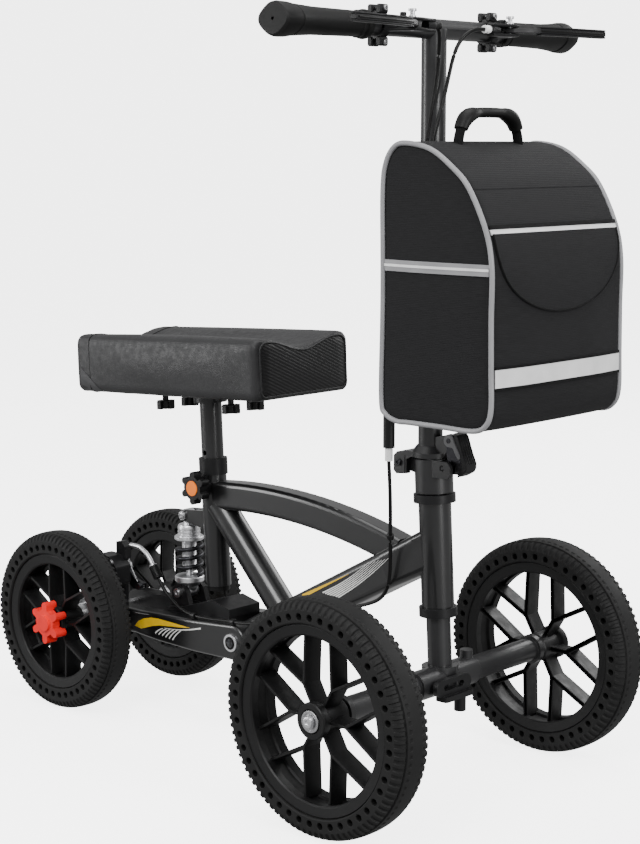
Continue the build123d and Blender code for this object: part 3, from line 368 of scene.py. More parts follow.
# ---- mesh helpers ---------------------------------------------------------------------------
def shade(mesh, angle=35.0):
    """Smooth shading, except at edges sharper than the angle."""
    mesh.shade_smooth()
    mesh.set_sharp_from_angle(angle=radians(angle))


def mesh_from(points, faces, angle=35.0, merge=0.0):
    """A mesh from points in millimetres, with normals outward."""
    bm = bmesh.new()
    verts = [bm.verts.new((p[0] * MM, p[1] * MM, p[2] * MM)) for p in points]
    for face in faces:
        bm.faces.new([verts[i] for i in face])
    if merge:
        bmesh.ops.remove_doubles(bm, verts=bm.verts, dist=merge * MM)
    bmesh.ops.recalc_face_normals(bm, faces=bm.faces)
    mesh = bpy.data.meshes.new("form")
    bm.to_mesh(mesh)
    bm.free()
    shade(mesh, angle)
    return mesh


def put(name, mesh, look, body, replaces=(), place=(0, 0, 0), turn=(0, 0, 0)):
    """Makes a piece of a mesh, in place, riding on a CAD body."""
    piece = linked(bpy.data.objects.new(name, mesh))
    if not mesh.materials:
        mesh.materials.append(look)
    piece.location = place
    piece.rotation_euler = turn
    bpy.context.view_layer.update()
    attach(piece, body)
    if replaces:
        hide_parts(*replaces)
    return piece


def grid_faces(rows, columns):
    """Quads between rows of points, each row a loop."""
    faces = []
    for i in range(rows - 1):
        for j in range(columns):
            low, k = i * columns, (j + 1) % columns
            faces.append((low + j, low + k, low + columns + k, low + columns + j))
    return faces


def lathe_data(profile, steps):
    """Points and faces of a closed profile of (radius, y) turned about the Y axis."""
    points = [about_axle(r, y, tau * i / steps) for i in range(steps) for r, y in profile]
    faces = [tuple(i % len(points) for i in face) for face in grid_faces(steps + 1, len(profile))]
    return points, faces


def join_data(parts):
    """Several (points, faces) as one."""
    points, faces = [], []
    for more_points, more_faces in parts:
        base = len(points)
        points += more_points
        faces += [tuple(base + i for i in face) for face in more_faces]
    return points, faces


# ---- wheels ---------------------------------------------------------------------------------
HOLES = 46                                # through holes round each tyre
LUGS = 2                                  # shoulder lugs to each hole
SHOULDER = 13.0                           # depth of the rounded shoulder
LUG_PHASES = (0.0, 0.12, 0.5, 0.62)       # a lug rises, holds, falls and leaves a groove
LUG_ROWS, GROOVE_ROW = (10, 24, 38, 50), 55
CROWN_ROWS, PIT_ROWS = (60, 67, 78, 84), (70, 74)
LUG_DEPTH, PIT_DEPTH = 2.3, 1.3
HOLE_R, WALL_DISH = 4.3, 0.15
SPOKES = 6


def tread_rows(radius, half):
    """Rows across the tread: (y, r, angle up from the side wall, side, kind of row)."""
    kinds = {**dict.fromkeys(LUG_ROWS, "lug"), GROOVE_ROW: "groove", **dict.fromkeys(PIT_ROWS, "pit")}
    rows = []
    for side in (LEFT, RIGHT):
        half_rows = []
        for degrees_up in sorted((0, *kinds, *CROWN_ROWS, 90)):
            up = radians(degrees_up)
            y = side * half * cos(up) ** 0.75
            r = radius - SHOULDER + SHOULDER * sin(up) ** 0.75
            half_rows.append((y, r, up, side, kinds.get(degrees_up, "plain")))
        rows += half_rows if side == LEFT else half_rows[-2::-1]
    return rows


def tread_point(row, column):
    """(r, y) of a tread row at a lug phase."""
    y, r, up, side, kind = row
    high = column % len(LUG_PHASES) in ((1, 2) if side == LEFT else (0, 3))
    depth = 0.0
    if kind == "groove" or kind == "lug" and not high:
        depth = LUG_DEPTH
    elif kind == "pit" and high:
        depth = PIT_DEPTH
    return r - depth * sin(up), y - side * depth * cos(up)


def about_axle(r, y, turn):
    """The point at a radius and angle about the axle."""
    return (r * cos(turn), y, r * sin(turn))


def tyre_mesh(radius, bead, half, ring):
    """An airless tyre about the Y axis: pierced side walls, shoulder lugs and a pitted crown."""
    points, faces = [], []
    columns = LUGS * len(LUG_PHASES)
    pitch = tau / HOLES
    bead_rows = [(bead + 2, half - 0.3), (bead + 0.6, half - 1.6), (bead, half - 4)]
    bead_rows += [(r, -y) for r, y in reversed(bead_rows)]
    shift = [(i // len(LUG_PHASES) + LUG_PHASES[i % len(LUG_PHASES)]) / LUGS for i in range(columns)] + [1.0]
    for sector in range(HOLES):
        start = sector * pitch
        for profile, is_tread in ((tread_rows(radius, half), True), (bead_rows, False)):
            base, count = len(points), len(profile)
            for column in range(columns + 1):
                for row in profile:
                    r, y = tread_point(row, column) if is_tread else row
                    points.append(about_axle(r, y, start + pitch * shift[column]))
            for column in range(columns):
                for j in range(count - 1):
                    low = base + column * count + j
                    faces.append((low, low + 1, low + 1 + count, low + count))
        # side walls: a frame of quads round the hole, a chamfer, then the hole's wall
        middle = start + pitch / 2
        rim = [(radius - SHOULDER, half, start + pitch * s) for s in shift]
        rim.append((ring, half - WALL_DISH, start + pitch))
        rim += [(bead + 2, half - 0.3, start + pitch * s) for s in reversed(shift)]
        rim.append((ring, half - WALL_DISH, start))
        loops = []
        for side in (LEFT, RIGHT):
            loops.append([[about_axle(r, side * y, turn) for r, y, turn in rim]])
            for size, sunk in ((HOLE_R + 0.8, 0.1), (HOLE_R, 0.9)):
                circle = []
                for r, y, turn in rim:
                    across, up = r * sin(turn - middle), r * cos(turn - middle) - ring
                    length = hypot(across, up)
                    u, v = size * across / length, size * up / length
                    circle.append(about_axle(hypot(ring + v, u), side * (half - WALL_DISH - sunk),
                                             middle + atan2(u, ring + v)))
                loops[-1].append(circle)
        chain = loops[0] + loops[1][::-1]
        base = len(points)
        for loop in chain:
            points += loop
        faces += [tuple(base + i for i in face) for face in grid_faces(len(chain), len(rim))]
    return mesh_from(points, faces, 30.0, merge=0.02)


def spoke_outline(width, hub, fork, reach, spread):
    """Outline of one Y spoke along +X: a stem to the fork, then two arms."""
    tip = Vector((reach * cos(spread), reach * sin(spread)))
    arm = (tip - Vector((fork, 0))).normalized()
    side = Vector((-arm.y, arm.x))
    shoulder_x = fork - width * arm.y + width * (1 - arm.x) / arm.y * arm.x
    upper = [(hub, width), (shoulder_x, width), tuple(tip + width * side), tuple(tip - width * side)]
    crotch = (fork + width / arm.y, 0.0)
    return upper + [crotch] + [(x, -z) for x, z in reversed(upper)]


def rim_mesh(bead, lip, hub_half, hub_r):
    """A rim about the Y axis with its outer side at +Y: barrel, hub and six ribbed Y spokes."""
    half = hub_half - 2.0
    barrel = [(bead, -half + 1), (bead - 1.5, -half), (lip + 2, -half + 1.2), (lip, -half + 3),
              (lip + 1.5, -9), (lip + 4, -7), (lip + 4, 7), (lip + 1, 9.5), (lip, half - 3.5),
              (lip + 2, half - 1.5), (bead - 1.5, half), (bead, half - 1)]
    hub = [(8, -hub_half + 8), (14.2, -hub_half + 8), (14.2, -hub_half), (18, -hub_half), (20, -hub_half + 3),
           (20, -12), (18, -8), (19, 9), (hub_r - 0.8, 13), (hub_r, 15), (hub_r, hub_half - 2.2),
           (hub_r - 1.2, hub_half - 1), (15.4, hub_half - 1), (15.4, hub_half - 8), (8, hub_half - 8)]
    parts = [lathe_data(barrel, 120), lathe_data(hub, 48)]
    rings = ((13, 1.5), (11.8, 2.1), (-14, 3.4), (-14, 2.2), (4, 1.6))
    for turn in range(SPOKES):
        angle = tau * turn / SPOKES
        points = []
        for y, width in rings:
            for x, z in spoke_outline(width, 17.5, 0.44 * lip, lip + 2.5, radians(19)):
                points.append((x * cos(angle) - z * sin(angle), y, x * sin(angle) + z * cos(angle)))
        parts.append((points, capped_faces(len(rings), len(points) // len(rings))))
    return mesh_from(*join_data(parts), 30.0)


def make_wheels():
    """Tyres and rims stand for the plain CAD rings."""
    sizes = {"front": (120.0, 105.0, 26.0, 129.0), "rear": (102.0, 86.0, 23.5, 111.9)}
    for axle, (bead, lip, hub_half, ring) in sizes.items():
        low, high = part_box(f"{axle}_tyre_left")
        radius, half = (high.x - low.x) / 2 / MM, (high.y - low.y) / 2 / MM
        tyre = tyre_mesh(radius, bead, half, ring)
        rim = rim_mesh(bead, lip, hub_half, 23.3)
        for side, hand in HANDS:
            near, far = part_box(f"{axle}_tyre_{hand}")
            turn = (0, 0, pi) if side == RIGHT else (0, 0, 0)
            for kind, made, mesh, look, slot in (("tyre", "tread", tyre, TYRE, "tyre_rubber"),
                                                 ("rim", "cast", rim, NYLON, "rim_nylon")):
                node = f"{axle}_{kind}_{hand}"
                put(f"{node}_{made}", mesh, look, f"{axle}_wheel_{hand}", [node], (near + far) / 2,
                    turn)


# ---- soft goods -----------------------------------------------------------------------------
def capped_faces(rows, columns):
    """Quads between rows of points, with both ends filled."""
    last = (rows - 1) * columns
    ends = [tuple(range(columns)), tuple(range(last + columns - 1, last - 1, -1))]
    return grid_faces(rows, columns) + ends


def capped_loft(rows, angle=35.0):
    """A closed form through loops of points, with both ends filled."""
    return mesh_from([point for row in rows for point in row], capped_faces(len(rows), len(rows[0])), angle)


def applied(piece):
    """The piece's mesh with its modifiers applied."""
    bpy.context.view_layer.update()
    return bpy.data.meshes.new_from_object(piece.evaluated_get(bpy.context.evaluated_depsgraph_get()))


CLOTH_FRAMES = 20


def inflate(mesh, voxel, cap, held, soften):
    """Cloth pass: the form is remeshed, blown up from inside with its seams held, and kept."""
    piece = linked(bpy.data.objects.new("soft_form", mesh))
    remesh = piece.modifiers.new("remesh", "REMESH")
    remesh.mode = "VOXEL"
    remesh.voxel_size = voxel * MM
    piece.data = applied(piece)
    piece.modifiers.clear()
    start = [v.co.copy() for v in piece.data.vertices]
    seams = piece.vertex_groups.new(name="seams")
    seams.add([v.index for v in piece.data.vertices if held(v.co / MM)], 1.0, "REPLACE")
    cloth = piece.modifiers.new("cloth", "CLOTH")
    cloth.settings.vertex_group_mass = "seams"
    cloth.settings.use_pressure = True
    cloth.settings.uniform_pressure_force = 4.0
    cloth.settings.effector_weights.gravity = 0
    cloth.point_cache.frame_end = CLOTH_FRAMES
    for frame_number in range(1, CLOTH_FRAMES + 1):
        bpy.context.scene.frame_set(frame_number)
    blown = applied(piece)
    piece.modifiers.clear()
    bpy.context.scene.frame_set(1)
    normals = [vertex.normal.copy() for vertex in piece.data.vertices]
    swell = [min(cap * MM, max(0.0, (after.co - before).dot(normal)))
             for normal, before, after in zip(normals, start, blown.vertices)]
    around = [[] for _ in swell]
    for edge in piece.data.edges:
        a, b = edge.vertices
        around[a].append(b)
        around[b].append(a)
    for _ in range(soften):
        swell = [(own + sum(swell[j] for j in near)) / (1 + len(near))
                 for own, near in zip(swell, around)]
    for vertex, before, grown, normal in zip(piece.data.vertices, start, swell, normals):
        vertex.co = before + normal * grown
    result = piece.data
    bpy.data.objects.remove(piece)
    shade(result, 60.0)
    return result


def smooth_tube(points, radii, sides=10, closed=False, about=None):
    """A tube through points, its round section (radius, or across and up) changing along it."""
    pts = [Vector(p) for p in points]
    count, rows = len(pts), []
    for i, p in enumerate(pts):
        after = pts[(i + 1) % count] if closed or i < count - 1 else p
        before = pts[i - 1] if closed or i else p
        along = (after - before).normalized()
        guide = about or ((0, 0, 1) if abs(along.z) < 0.95 else (1, 0, 0))
        side = along.cross(Vector(guide)).normalized()
        up = side.cross(along)
        across, high = radii[i] if isinstance(radii, list) else (radii, radii)
        rows.append([p + side * across * cos(tau * k / sides) + up * high * sin(tau * k / sides)
                     for k in range(sides)])
    if not closed:
        return capped_loft(rows, 50.0)
    rows.append(rows[0])
    return mesh_from([q for row in rows for q in row], grid_faces(len(rows), sides), 50.0, 0.01)


def curve_points(knots, steps):
    """Points of a Catmull-Rom curve through knots."""
    knots = [Vector(k) for k in knots]
    spare = [2 * knots[0] - knots[1]] + knots + [2 * knots[-1] - knots[-2]]
    points = []
    for a, b, c, d in zip(spare, spare[1:], spare[2:], spare[3:]):
        for i in range(steps):
            t = i / steps
            points.append(0.5 * (2 * b + (c - a) * t + (2 * a - 5 * b + 4 * c - d) * t * t
                                 + (3 * b - a - 3 * c + d) * t ** 3))
    return points + [knots[-1]]


STITCH_SINK = 0.8                         # how far a sewn strip's back lies under the surface


class Skin:
    """Finds points on a soft form's surface, to sew strips and flaps onto it."""

    def __init__(self, mesh):
        self.tree = BVHTree.FromPolygons([v.co for v in mesh.vertices], [p.vertices for p in mesh.polygons])

    def hit(self, start, heading, lift):
        """The surface point (in mm) seen from start along heading, lifted off by lift."""
        place, normal, _, _ = self.tree.ray_cast(Vector(start) * MM, Vector(heading))
        if place is None:
            place, normal, _, _ = self.tree.find_nearest(Vector(start) * MM)
        if normal.dot(Vector(heading)) > 0:
            normal = -normal
        return place / MM + normal * lift

    def strip(self, rows, heading, thick):
        """A thin sewn-on sheet over a grid of starting points."""
        outer = [[self.hit(p, heading, thick) for p in row] for row in rows]
        inner = [[self.hit(p, heading, -STITCH_SINK) for p in row] for row in rows]
        loops = [a + b[::-1] for a, b in zip(outer, inner)]
        return capped_loft(loops, 40.0)


PAD_TILT = radians(3.0)
PAD_ORIGIN = Vector((-139.05, 0, 488.96))
PAD_BACK, PAD_FRONT, PAD_HALF, PAD_TALL, TROUGH = -188.5, 191.0, 94.5, 85.5, 15.0
PAD_EDGE, PAD_MID, CAP_SEAM = 9.0, 36.0, PAD_BACK + 33


def tilted(x, z, tilt):
    """(x, z) turned by the tilt."""
    return x * cos(tilt) - z * sin(tilt), x * sin(tilt) + z * cos(tilt)


def on_pad(x, y, z):
    """A point given along, across and above the underside of the knee pad."""
    along, up = tilted(x, z, PAD_TILT)
    return PAD_ORIGIN + Vector((along, y, up))


def in_pad(point):
    """The reverse of on_pad."""
    p = point - PAD_ORIGIN
    along, up = tilted(p.x, p.z, -PAD_TILT)
    return Vector((along, p.y, up))


def pad_section(inset=0.0, drop=0.0):
    """(y, z) loop of the pad's cross section, from the middle of the trough round the left side."""
    half, top, low = PAD_HALF - 1.5 - inset, PAD_TALL - 1.0 - drop, drop
    loop = []
    for step in range(12):
        y = (half - 18) * step / 12
        loop.append((y, top - TROUGH * (1 + cos(pi * y / (half - 16))) / 2))
    for corner_y, corner_z, radius, turn in ((half - 13, top - 13, 13, 90), (half - 9, low + 9, 9, 0)):
        for step in range(7):
            angle = radians(turn - 15 * step)
            loop.append((corner_y + radius * cos(angle), corner_z + radius * sin(angle)))
    loop += [((half - 16) * step / 8, low) for step in range(8, 0, -1)]
    return loop + [(-y, z) for y, z in reversed(loop[1:])]


def smoothed(piece):
    """Adds one level of subdivision to a piece."""
    smooth = piece.modifiers.new("smooth", "SUBSURF")
    smooth.levels = smooth.render_levels = 1


def make_pad():
    """The knee pad: a padded block with raised wings, piped ends and a sewn rear cap."""
    for end, x_end in ((-1, PAD_BACK), (1, PAD_FRONT)):
        turns = [pi / 2 * step / 5 for step in range(6)]
        band = [(x_end - end * PAD_EDGE * (1 - sin(a)), PAD_EDGE * (1 - cos(a))) for a in turns]
        if end < 0:
            rows = band[::-1] + [(PAD_BACK + PAD_EDGE + 14 + i * 30.9, 0) for i in range(11)]
        else:
            rows += band
    loops = [[on_pad(x, y, z) for y, z in pad_section(inset, inset * 0.45)] for x, inset in rows]
    seam_stations = (CAP_SEAM, PAD_FRONT - 6)

    def held(point):
        p = in_pad(point)
        return p.z < 3 or min(abs(p.x - x) for x in seam_stations) < 3.5

    mesh = inflate(capped_loft(loops, 60.0), 5.0, 4.0, held, 10)
    pad = put("knee_pad_cover", mesh, PAD, "seat", ["knee_pad"])
    smoothed(pad)
    skin = Skin(mesh)
    lean = Vector((cos(PAD_TILT), 0, sin(PAD_TILT)))
    # ribbed panel on the front end, inside its piping
    ahead = PAD_FRONT + 30
    outer = []
    for scale, lift in ((1.0, -0.6), (0.97, 0.9), (0.8, 0.9), (0.55, 0.9), (0.3, 0.9), (0.08, 0.9)):
        row = [on_pad(ahead, y * scale, PAD_MID + (z - PAD_MID) * scale) for y, z in pad_section(9.5, 6.0)]
        outer.append([skin.hit(p, -lean, lift) for p in row])
    put("pad_front_panel", capped_loft(outer, 50.0), PAD_END, "seat")
    piping = [skin.hit(on_pad(ahead, y, z), -lean, 0.4) for y, z in pad_section(9.0, 5.5)]
    put("pad_front_piping", smooth_tube(piping, 1.5, 8, True), PAD, "seat")
    # seam of the rear end cap, all round
    seam = []
    for y, z in pad_section():
        start = on_pad(CAP_SEAM, y * 1.4, PAD_MID + (z - PAD_MID) * 1.6)
        seam.append(skin.hit(start, on_pad(CAP_SEAM, y * 0.3, PAD_MID) - start, 0.15))
    put("pad_rear_seam", smooth_tube(seam, 0.9, 6, True), JACKET, "seat")
    # paler triangular reinforcement at the lower rear corners
    for side, hand in HANDS:
        rows = []
        for i in range(13):
            t = i / 12
            heights = [3 + 34 * (1 - t) * share for share in (0, 0.33, 0.66, 1)]
            rows.append([on_pad(PAD_BACK + 12 + 44 * t, side * 140, z) for z in heights])
        put(f"pad_patch_{hand}", skin.strip(rows, (0, -side, 0), 0.7), PAD_PATCH,
            "seat")


BAG_HALF = 131.4
BAG_KNOTS = [(304.5, 530), (304.5, 620), (304.5, 710), (305, 790), (310, 822), (323, 841), (342, 846),
             (380.4, 839.3), (414, 819), (441, 794), (468, 744.4), (478, 700), (478, 640), (478, 580),
             (478, 533), (469.8, 513.2), (450, 505), (400, 505), (350, 505), (329.5, 505), (311.8, 512.3)]


def bag_loop():
    """Points round the bag's side panel, as (x, z) vectors."""
    steps = 6
    closed = [(x, z, 0) for x, z in BAG_KNOTS[-2:] + BAG_KNOTS + BAG_KNOTS[:2]]
    return [p.xy for p in curve_points(closed, steps)[2 * steps:-steps - 1]]


def make_bag():
    """The front bag: a padded shell with piped side panels, bands, a flap and a carrying handle."""
    loop = bag_loop()
    centre = Vector((391, 670))
    ends = ((BAG_HALF - 1.0, 7.0), (BAG_HALF - 2.4, 2.6), (BAG_HALF - 5, 1.5), (100, 1.5), (50, 1.5))
    rows = []
    for y, inset_by in [(-y, by) for y, by in ends] + [(0, 1.5)] + list(reversed(ends)):
        inner = [q - (q - centre).normalized() * inset_by for q in loop]
        rows.append([(q.x, y, q.y) for q in inner])

    def held(p):
        return p.x < 309 or BAG_HALF - 9 < abs(p.y) < BAG_HALF - 1.2 or abs(p.z - 790) < 2.6 and p.x > 400

    mesh = inflate(capped_loft(rows, 60.0), 6.0, 4.5, held, 6)
    shell = put("bag_shell", mesh, FABRIC, "stem", ["bag"])
    smoothed(shell)
    skin = Skin(mesh)
    for side, hand in HANDS:
        edge = [q + (centre - q).normalized() * 3.6 for q in loop]
        edge = [(q.x, side * (BAG_HALF - 1.4), q.y) for q in edge]
        piping = smooth_tube(edge, 3.2, 12, True, about=(0, 1, 0))
        put(f"bag_piping_{hand}", piping, PIPING, "stem")
        for name, low, high, thick, look in (("band", 690.5, 704, 1.6, PIPING),
                                             ("band_line", 696, 699, 2.2, WHITE_TAPE)):
            rows = [[(x, side * 160, z) for z in (low, (low + high) / 2, high)] for x in range(309, 476, 6)]
            put(f"bag_side_{name}_{hand}", skin.strip(rows, (0, -side, 0), thick), look, "stem")
    for name, low, high, thick, look in (
            ("top_line", 737.5, 743.5, 1.8, WHITE_TAPE), ("top_edge", 743.5, 748, 2.6, WEBBING),
            ("band", 561, 582.5, 1.6, WHITE_TAPE), ("band_low", 557.5, 561, 2.0, WEBBING),
            ("band_high", 582.5, 586, 2.0, WEBBING), ("seam", 789.4, 790.6, 0.5, FABRIC)):
        rows = [[(540, y, z) for z in (low, (low + high) / 2, high)] for y in range(-125, 126, 5)]
        put(f"bag_front_{name}", skin.strip(rows, (-1, 0, 0), thick), look, "stem")
    # rounded flap over the front pocket, with a bound edge
    rows, edge = [], []
    for i in range(49):
        angle = pi * i / 48
        y = -123 * cos(angle)
        drop = 94 * sin(angle) ** 0.8
        column = [738.5 - drop * t for t in (0, 0.2, 0.4, 0.6, 0.8, 1.0)]
        rows.append([(540, y, z) for z in column])
        edge.append(skin.hit((540, y, column[-1]), (-1, 0, 0), 1.6))
    put("bag_flap", skin.strip(rows[1:-1], (-1, 0, 0), 1.9), FABRIC, "stem")
    put("bag_flap_binding", smooth_tube(edge, 1.5, 8), WEBBING, "stem")
    make_handle()
    make_straps()


def make_handle():
    """The bag's handle: two thin posts and a moulded grip that thickens at its ends."""
    knots = [(365, -60, 838), (365, -57, 852), (365, -50.5, 866), (365, -41, 874.5), (365, -26, 878.5),
             (365, 0, 879.3), (365, 26, 878.5), (365, 41, 874.5), (365, 50.5, 866), (365, 57, 852),
             (365, 60, 838)]
    post = curve_points(knots, 6)
    posts = smooth_tube(post, [(3.6, 7.5)] * len(post), 12, about=(1, 0, 0))
    put("bag_handle_posts", posts, WEBBING, "stem", ["bag_handle"])
    grip = [p for p in post if abs(p.y) < 54.5]
    radii = []
    for p in grip:
        t = abs(p.y) / 54.5
        size = 6.2 + 2.6 * sin(pi * min(1.0, max(0.0, t - 0.45) / 0.6))
        radii.append((size, size + 2.8))
    grip_mesh = smooth_tube(grip, radii, 16, about=(1, 0, 0))
    put("bag_handle_grip", grip_mesh, SOFT_RUBBER, "stem")


def make_straps():
    """Two webbing straps hold the bag to the stem."""
    for name, z in (("low", 600), ("high", 780)):
        rows = []
        loop = [(309, 15), (292, 17.2), (276.4, 17.6), (264, 13), (258.8, 0), (264, -13), (276.4, -17.6),
                (292, -17.2), (309, -15)]
        path = curve_points([(x, y, z) for x, y in loop], 4)
        centre = Vector((282, 0, z))
        for p in path:
            out = (p - centre).normalized() * 0.9
            near, far, wide = p - out, p + out, Vector((0, 0, 12.5))
            rows.append([near - wide, far - wide, far + wide, near + wide])
        put(f"bag_strap_{name}", capped_loft(rows, 40.0), WEBBING, "stem")


# ---- hard details ---------------------------------------------------------------------------
def inset(outline, amount):
    """An outline drawn in by amount, corner by corner."""
    area = sum(a[0] * b[1] - b[0] * a[1] for a, b in zip(outline, outline[1:] + outline[:1]))
    hand = 1 if area > 0 else -1
    drawn = []
    for i, corner in enumerate(outline):
        before, after = outline[i - 1], outline[(i + 1) % len(outline)]
        first = (Vector(corner) - Vector(before)).normalized()
        second = (Vector(after) - Vector(corner)).normalized()
        left_a, left_b = Vector((-first.y, first.x)) * hand, Vector((-second.y, second.x)) * hand
        middle = left_a + left_b
        reach = amount / max(0.35, middle.length_squared / 2) if middle.length else 0.0
        drawn.append((corner[0] + middle.x * reach, corner[1] + middle.y * reach))
    return drawn


def block(outline, low, high, plane="xz", chamfer=1.0):
    """A prism with chamfered edges: an outline in the xz or xy plane, from low to high across it."""
    drawn = inset(outline, chamfer)
    rows = []
    for loop, w in ((drawn, low), (outline, low + chamfer), (outline, high - chamfer), (drawn, high)):
        rows.append([(u, w, v) if plane == "xz" else (u, v, w) for u, v in loop])
    return capped_loft(rows, 30.0)


def round_outline(u, v, length, height, radius):
    """A rounded rectangle round (u, v)."""
    points = []
    for su, sv, start in ((1, 1, 0), (-1, 1, 90), (-1, -1, 180), (1, -1, 270)):
        for i in range(6):
            angle = radians(start + 18 * i)
            points.append((u + su * (length / 2 - radius) + radius * cos(angle),
                           v + sv * (height / 2 - radius) + radius * sin(angle)))
    return points


def arc(u, v, radius, first, last):
    """Points every 20 degrees from first up to, and without, last."""
    return [(u + radius * cos(radians(a)), v + radius * sin(radians(a))) for a in range(first, last, 20)]


def turned(profile, origin, axis, steps=40):
    """A turned part: (radius, distance along the axis) pairs, closed on themselves or ending on the axis."""
    axis = Vector(axis).normalized()
    side = axis.cross(Vector((0, 0, 1)) if abs(axis.z) < 0.9 else Vector((1, 0, 0))).normalized()
    up = axis.cross(side)
    points = []
    for i in range(steps + 1):
        turn = tau * (i % steps) / steps
        out = side * cos(turn) + up * sin(turn)
        points += [Vector(origin) + axis * t + out * r for r, t in profile]
    return mesh_from(points, grid_faces(steps + 1, len(profile)), 30.0, 0.005)


def add(name, mesh, look, body, slot, *nodes):
    """A piece already in place."""
    return put(name, mesh, look, body, nodes)


def bolt_head(name, place, axis, size, body, look, depth):
    """A cap screw head with a hexagon socket."""
    shares = ((0.5, 0.35), (0.5, 1), (0.85, 1), (1, 0.8), (1, 0))
    profile = [(size * r, depth * t) for r, t in shares] + [(0.01, 0), (0.01, depth * 0.35)]
    add(name, turned(profile, place, axis, 24), look, body, "silver_alloy")


def cast(name, mesh, body, *nodes):
    """A black die-cast piece."""
    add(name, mesh, CAST, body, "black_alloy", *nodes)


def silver(name, profile, place, axis, steps, body, *nodes):
    """A turned piece of bright alloy."""
    add(name, turned(profile, place, axis, steps), SILVER, body, "silver_alloy", *nodes)


BAR_Z, STEM_X = 983.0, 276.4
GRIP_STATIONS = [(-130.0, 0, 12.9, 12.9), (-129.4, 0, 17.2, 17.2), (-132.5, 0, 17.9, 17.9),
                 (-136, 0, 17.6, 17.6), (-137, 0, 15.4, 15.4), (-141, 0, 15.6, 15.6), (-142, 0, 16.6, 16.6),
                 (-144.5, 0, 16.6, 16.6), (-145.5, 0, 15.3, 15.3), (-165, 0.6, 16.2, 15.6),
                 (-195, 1.2, 18.2, 16.0), (-222, 2.2, 20.0, 16.4), (-243, 3.6, 22.5, 17.4),
                 (-252, 4.4, 24.0, 18.0), (-253, 4.5, 23.2, 17.2), (-255.5, 4.6, 23.4, 17.4),
                 (-256.5, 4.7, 25.0, 18.6), (-264, 5.0, 25.6, 19.4), (-275, 5.0, 25.2, 19.6),
                 (-279, 5.0, 24.2, 18.8), (-280.8, 5.0, 21.5, 16.6), (-280.9, 5.0, 2.2, 2.2),
                 (-276, 5.0, 2.0, 2.0)]


def make_grips():
    """Moulded grips: inner flange and ring, a slim body, a groove and a broad palm end."""
    for side, hand in HANDS:
        rows = []
        for y, back, rx, rz in GRIP_STATIONS:
            loop = []
            for i in range(32):
                angle = tau * i / 32
                wing = 1.0 + 0.05 * cos(4 * angle) * min(1.0, max(0.0, (-y - 222) / 50))
                loop.append((STEM_X - back + rx * wing * cos(angle), -side * y,
                             BAR_Z + rz * wing * sin(angle)))
            rows.append(loop)
        add(f"grip_{hand}", capped_loft(rows, 24.0), SOFT_RUBBER, "stem", "soft_rubber",
            *(["grips"] if side == RIGHT else []))


